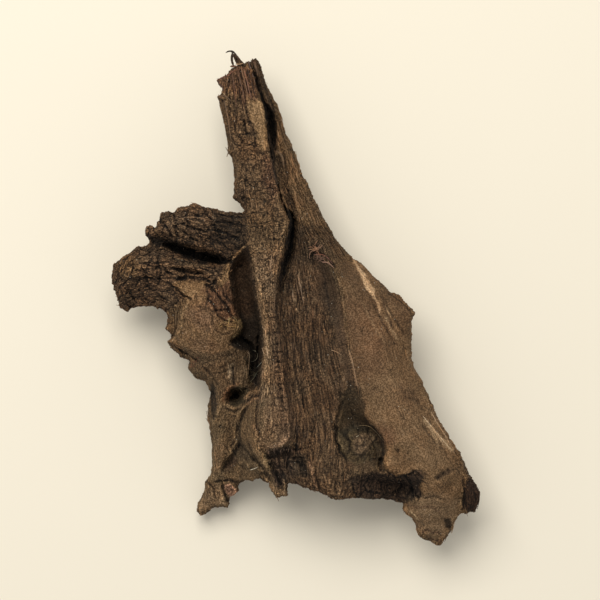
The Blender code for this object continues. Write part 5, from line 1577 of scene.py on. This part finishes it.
def weatheredWood():
    material, graph, shader = newMaterial("weatheredWood")

    def layer(name, output=2):
        return graph.add("ShaderNodeAttribute", {"attribute_name": name}, {}, output)

    def hairCracks(place, size, reach, width, low, high):
        # thin broken lines along the edges of bent cells
        bent = graph.pushed(place, graph.noise(place, reach, 3.0, 0.7, 1), 1.6)
        line = 1 - graph.smooth(graph.cells(bent, size), 0.0, width)
        return line * graph.smooth(graph.noise(place, reach * 0.8, 2.0), low, high)

    grain = layer("grain", 1)
    tone = layer("tone", 1)
    hollow, basin, cracks = layer("hollow"), layer("basin"), layer("cracks")
    checks, blocks, fibres = layer("checks"), layer("blocks"), layer("fibres")
    position = graph.add("ShaderNodeTexCoord", {}, {}, "Object")

    def drawnOut(name):
        stretch, shift, size, octaves, rough = woodNoises[name]
        return graph.noise(graph.stretched(grain, stretch, shift), size, octaves, rough)

    # how light the wood is, in stops: drawn-out streaks, slow mottling, and grains down to half a millimetre
    def crisp(value, half):
        return graph.smooth(value, 0.5 - half, 0.5 + half) - 0.5

    streaks = drawnOut("streaks")
    fineStreaks = drawnOut("fineStreaks")
    mottle, speckle, dust = (graph.noise(position, *noise) for noise in evenNoises.values())
    fibreDust = drawnOut("fibreDust")
    drawn = drawnOut("drawn")
    busy, strap = layer("grit"), layer("strap")
    stops = crisp(streaks, 0.2) * 0.45 + crisp(fineStreaks, 0.16) * (0.4 + fibres * 0.4)
    stops = stops + crisp(drawn, 0.15) * (0.6 - fibres * 0.45)
    specks = crisp(speckle, 0.15) * (0.6 + blocks * 0.3 - fibres * 0.4 - strap * 0.2) * woodLook["speckles"]
    stops = (stops * woodLook["streaks"] + specks) * busy
    dusts = crisp(dust, 0.14) * (1.15 - fibres * 0.4) + crisp(fibreDust, 0.14) * fibres * 0.75
    stops = stops + dusts * (0.35 + busy * 0.85) * woodLook["dust"] + (mottle - 0.5) * 1.6
    nick = graph.smooth(drawnOut("nicks"), 0.6, 0.68) * strap
    ray = graph.smooth(drawnOut("rays"), 0.55, 0.65) * strap
    stops = stops + ray * woodLook["rays"] - nick * woodLook["nicks"]
    light = graph.maths("POWER", 2.0, stops)

    # joints between blocks, thin and dark, open in some places only; and a few hair cracks everywhere
    wide = graph.smooth(graph.noise(grain, 0.25, 2.0), 0.42, 0.58)
    uneven = graph.smooth(graph.noise(grain, 0.2, 3.0, 0.6), 0.3, 0.5)
    checkJoints = graph.joints(grain, relief["Check Size"], checkStretch)
    blockJoints = graph.joints(grain, relief["Block Size"], blockStretch)
    across = (1 - graph.smooth(checkJoints, 0.02, 0.2)) * wide
    roundJoints = (1 - graph.smooth(blockJoints, 0.04, 0.28)) * uneven
    few = hairCracks(graph.stretched(grain, (1.0, 0.4, 0.8), (8, 3, 2)), 0.22, 0.3, 0.025, 0.52, 0.62)
    hair = graph.maths("MINIMUM", across * checks + roundJoints * blocks + few * 0.7, 1.0)

    # painted shade: darker in small hollows and in broad basins, and darker along the cracks; the crests are
    # lighter, partly wear and partly a painted highlight
    shade = 1 - graph.smooth(hollow, 0.0, 0.28) * woodLook["hollowShade"]
    shade = shade * (1 - graph.smooth(basin, 0.3, 2.6) * woodLook["basinShade"]) * (1 - cracks * 0.5)
    shade = shade * (1 - hair * woodLook["hairCracks"])
    crest = graph.smooth(0 - hollow, 0.02, 0.22) * woodLook["crestLight"] + 1
    light = light * shade * crest * woodLook["brightness"]
    colour = graph.scaled(tone, light)
    grey = graph.add("ShaderNodeRGBToBW", {}, {"Color": tone})
    ashen = graph.scaled((1.26, 1.0, 0.76), grey * light)
    colour = graph.mixed(graph.smooth(stops, -0.1, 0.9) * woodLook["ashen"], colour, ashen)

    # warmer patches and cooler ones, pale dust, pale flecks along the fibres, and rare pale grains
    warmth = graph.smooth(graph.noise(position, 70.0, 4.0, 0.65), 0.4, 0.64)
    tint = graph.mixed(warmth, (0.98, 0.965, 0.86, 1.0), (1.06, 0.94, 0.76, 1.0))
    colour = graph.mixed(0.3 + busy * 0.7, colour, tint, "MULTIPLY")
    dusty = graph.smooth(graph.noise(position, 420.0, 4.0, 0.8), 0.55, 0.72) * 0.2
    colour = graph.mixed(dusty, colour, (0.16, 0.13, 0.088, 1.0))
    fleck = graph.smooth(drawnOut("flecks"), 0.62, 0.72)
    fleck = fleck * graph.smooth(mottle, 0.4, 0.62) * (0.25 + fibres * 0.75) * woodLook["flecks"]
    pale = graph.mixed(1.0, colour, (0.09, 0.072, 0.05, 1.0), "ADD")
    colour = graph.mixed(fleck, colour, pale)
    grit = 1 - graph.smooth(graph.cells(position, 420.0, "F1"), 0.06, 0.13)
    rare = graph.smooth(graph.noise(position, 160.0, 2.0), 0.57, 0.62)
    colour = graph.mixed(grit * rare * 0.75, colour, (0.42, 0.37, 0.29, 1.0))

    tree = material.node_tree
    tree.links.new(colour.socket, shader.inputs["Base Color"])
    roughness = 0.8 + (mottle - 0.5) * 0.25 + graph.smooth(hollow, 0.0, 0.3) * 0.12
    tree.links.new(roughness.socket, shader.inputs["Roughness"])
    bumps = streaks * 0.6 + fineStreaks * (0.5 + fibres * 0.8) + drawn * 0.4 + speckle * 0.85
    bumps = bumps - cracks * 0.5 - hair * 0.7 - nick * 0.6
    bump = graph.bump(bumps, woodLook["bumpDistance"])
    tree.links.new(bump.socket, shader.inputs["Normal"])
    shader.inputs["Specular IOR Level"].default_value = 0.2
    return material


fibreLook = {
    "stops": 1.1,  # how much the light varies along a fibre
    "pale": 1.0,  # the palest splinters, in stops above the wood below them
    "bumpDistance": 0.0002,
}


def tornFibre():
    # the strands and splinters: their own colour with fine dark and pale bits
    material, graph, shader = newMaterial("tornFibre")
    position = graph.add("ShaderNodeTexCoord", {}, {}, "Object")
    tone = graph.add("ShaderNodeAttribute", {"attribute_name": "tone"}, {}, 1)
    chance = graph.add("ShaderNodeAttribute", {"attribute_name": "chance"}, {}, 2)
    fine = graph.noise(position, 1300.0, 3.0, 0.7)
    slow = graph.noise(position, 300.0, 2.0, 0.6)
    stops = ((graph.smooth(fine, 0.36, 0.64) - 0.5) + (slow - 0.5) * 1.2) * fibreLook["stops"] + (
        chance * fibreLook["pale"])
    light = graph.maths("POWER", 2.0, stops)
    colour = graph.scaled(tone, light)
    warmth = graph.smooth(graph.noise(position, 120.0, 2.0), 0.4, 0.6)
    tint = graph.mixed(warmth, (0.96, 1.0, 1.04, 1.0), (1.1, 0.98, 0.86, 1.0))
    colour = graph.mixed(1.0, colour, tint, "MULTIPLY")
    tree = material.node_tree
    tree.links.new(colour.socket, shader.inputs["Base Color"])
    tree.links.new((0.72 + (fine - 0.5) * 0.4).socket, shader.inputs["Roughness"])
    bump = graph.bump(fine, fibreLook["bumpDistance"])
    tree.links.new(bump.socket, shader.inputs["Normal"])
    shader.inputs["Specular IOR Level"].default_value = 0.25
    return material


def sandGrain():
    # grains of sand and dust caught in the hollows: cream, grey and brown, a little glossy
    material, graph, shader = newMaterial("sandGrain")
    position = graph.add("ShaderNodeTexCoord", {}, {}, "Object")
    chance = graph.add("ShaderNodeAttribute", {"attribute_name": "chance"}, {}, 2)
    fine = graph.noise(position, 2400.0, 2.0, 0.6)
    colour = graph.add("ShaderNodeValToRGB", {"stops": [
        (0.0, (0.10, 0.07, 0.045, 1)), (0.45, (0.22, 0.17, 0.12, 1)), (0.8, (0.42, 0.36, 0.28, 1)),
        (1.0, (0.66, 0.6, 0.5, 1))]}, {"Fac": chance + (fine - 0.5) * 0.5})
    tree = material.node_tree
    tree.links.new(colour.socket, shader.inputs["Base Color"])
    tree.links.new((0.45 + (fine - 0.5) * 0.5).socket, shader.inputs["Roughness"])
    bump = graph.bump(fine, 0.00005, 0.8)
    tree.links.new(bump.socket, shader.inputs["Normal"])
    return material


# Floor, light and camera

studio = {
    "floorColour": (232, 225, 208),
    "floorSize": 6.0,
    "keyFrom": (-0.30, 0.75, 1.40),
    "keySize": 1.1,
    "keyPower": 22.0,
    "skyStrength": 0.55,
    "cameraHeight": 2.4,
    "middleHeight": 0.04,  # the level whose pixels measure mmPerPixel
    "sensor": 36.0,
}


def makeStudio():
    bpy.ops.mesh.primitive_plane_add(size=studio["floorSize"])
    floor = bpy.context.object
    floor.name = "floor"
    material, graph, shader = newMaterial("paleFloor")
    shader.inputs["Base Color"].default_value = (*fromScreen(studio["floorColour"]), 1)
    shader.inputs["Roughness"].default_value = 0.95
    shader.inputs["Specular IOR Level"].default_value = 0.1
    floor.data.materials.append(material)

    key = bpy.data.objects.new("key", bpy.data.lights.new("key", "AREA"))
    scene.collection.objects.link(key)
    key.data.size = studio["keySize"]
    key.data.energy = studio["keyPower"]
    key.data.color = (1.0, 0.97, 0.92)
    key.location = studio["keyFrom"]
    key.rotation_mode = "QUATERNION"
    key.rotation_quaternion = (-Vector(studio["keyFrom"])).to_track_quat("-Z", "Y")

    world = bpy.data.worlds.new("sky")
    world.use_nodes = True
    world.node_tree.nodes["Background"].inputs[0].default_value = (1.0, 0.985, 0.96, 1)
    world.node_tree.nodes["Background"].inputs[1].default_value = studio["skyStrength"]
    scene.world = world
    scene.view_settings.view_transform = "Standard"

    half = photo["across"] / 2
    x, y = fromPhoto([(half, half)])[0] * mm
    camera = bpy.data.objects.new("camera", bpy.data.cameras.new("camera"))
    scene.collection.objects.link(camera)
    camera.location = (x, y, studio["cameraHeight"])
    seen = photo["across"] * photo["mmPerPixel"] * mm
    camera.data.sensor_width = studio["sensor"]
    camera.data.lens = studio["sensor"] * (studio["cameraHeight"] - studio["middleHeight"]) / seen
    scene.camera = camera


wood = makeBody()
print("body made")
woodMaterial = weatheredWood()
wood.data.materials.clear()
wood.data.materials.append(woodMaterial)
markForStrewing(wood)
fibreMaterial = tornFibre()
grainMaterial = sandGrain()
strands = strandsOf(*wayOntoWood(wood), 12)
tree = strandTree()
pieces = [makeStrands("driftwood_" + kind, strands[kind], tree, fibreMaterial, wobble)
          for kind, wobble in (("slivers", 0.3), ("hairs", 0.3), ("fringes", 0.4))]
needle = ("GeometryNodeMeshUVSphere", {"Segments": 4, "Rings": 3, "Radius": 1.0})
pebble = ("GeometryNodeMeshIcoSphere", {"Radius": 1.0, "Subdivisions": 1})
splinters = strewnTree("strewnSplinters", needle, "splinterShare", strewn["splinter"], 0.09)
pieces.append(makeStrewn(wood, "driftwood_splinters", splinters, {
    "Per Square Metre": strewn["splintersPerSquareCm"] * 10000, "Smallest": 0.6, "Largest": 1.7, "Seed": 3,
    "Material": fibreMaterial}))
grains = strewnTree("strewnGrains", pebble, "grainShare", (strewn["grain"],) * 3, 0.5)
pieces.append(makeStrewn(wood, "driftwood_grains", grains, {
    "Per Square Metre": strewn["grainsPerSquareCm"] * 10000, "Smallest": 0.5, "Largest": 1.6, "Seed": 4,
    "Material": grainMaterial}))
print("strands and splinters made")
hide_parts("driftwood")
for piece in [wood] + pieces:
    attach(piece, "root")
makeStudio()
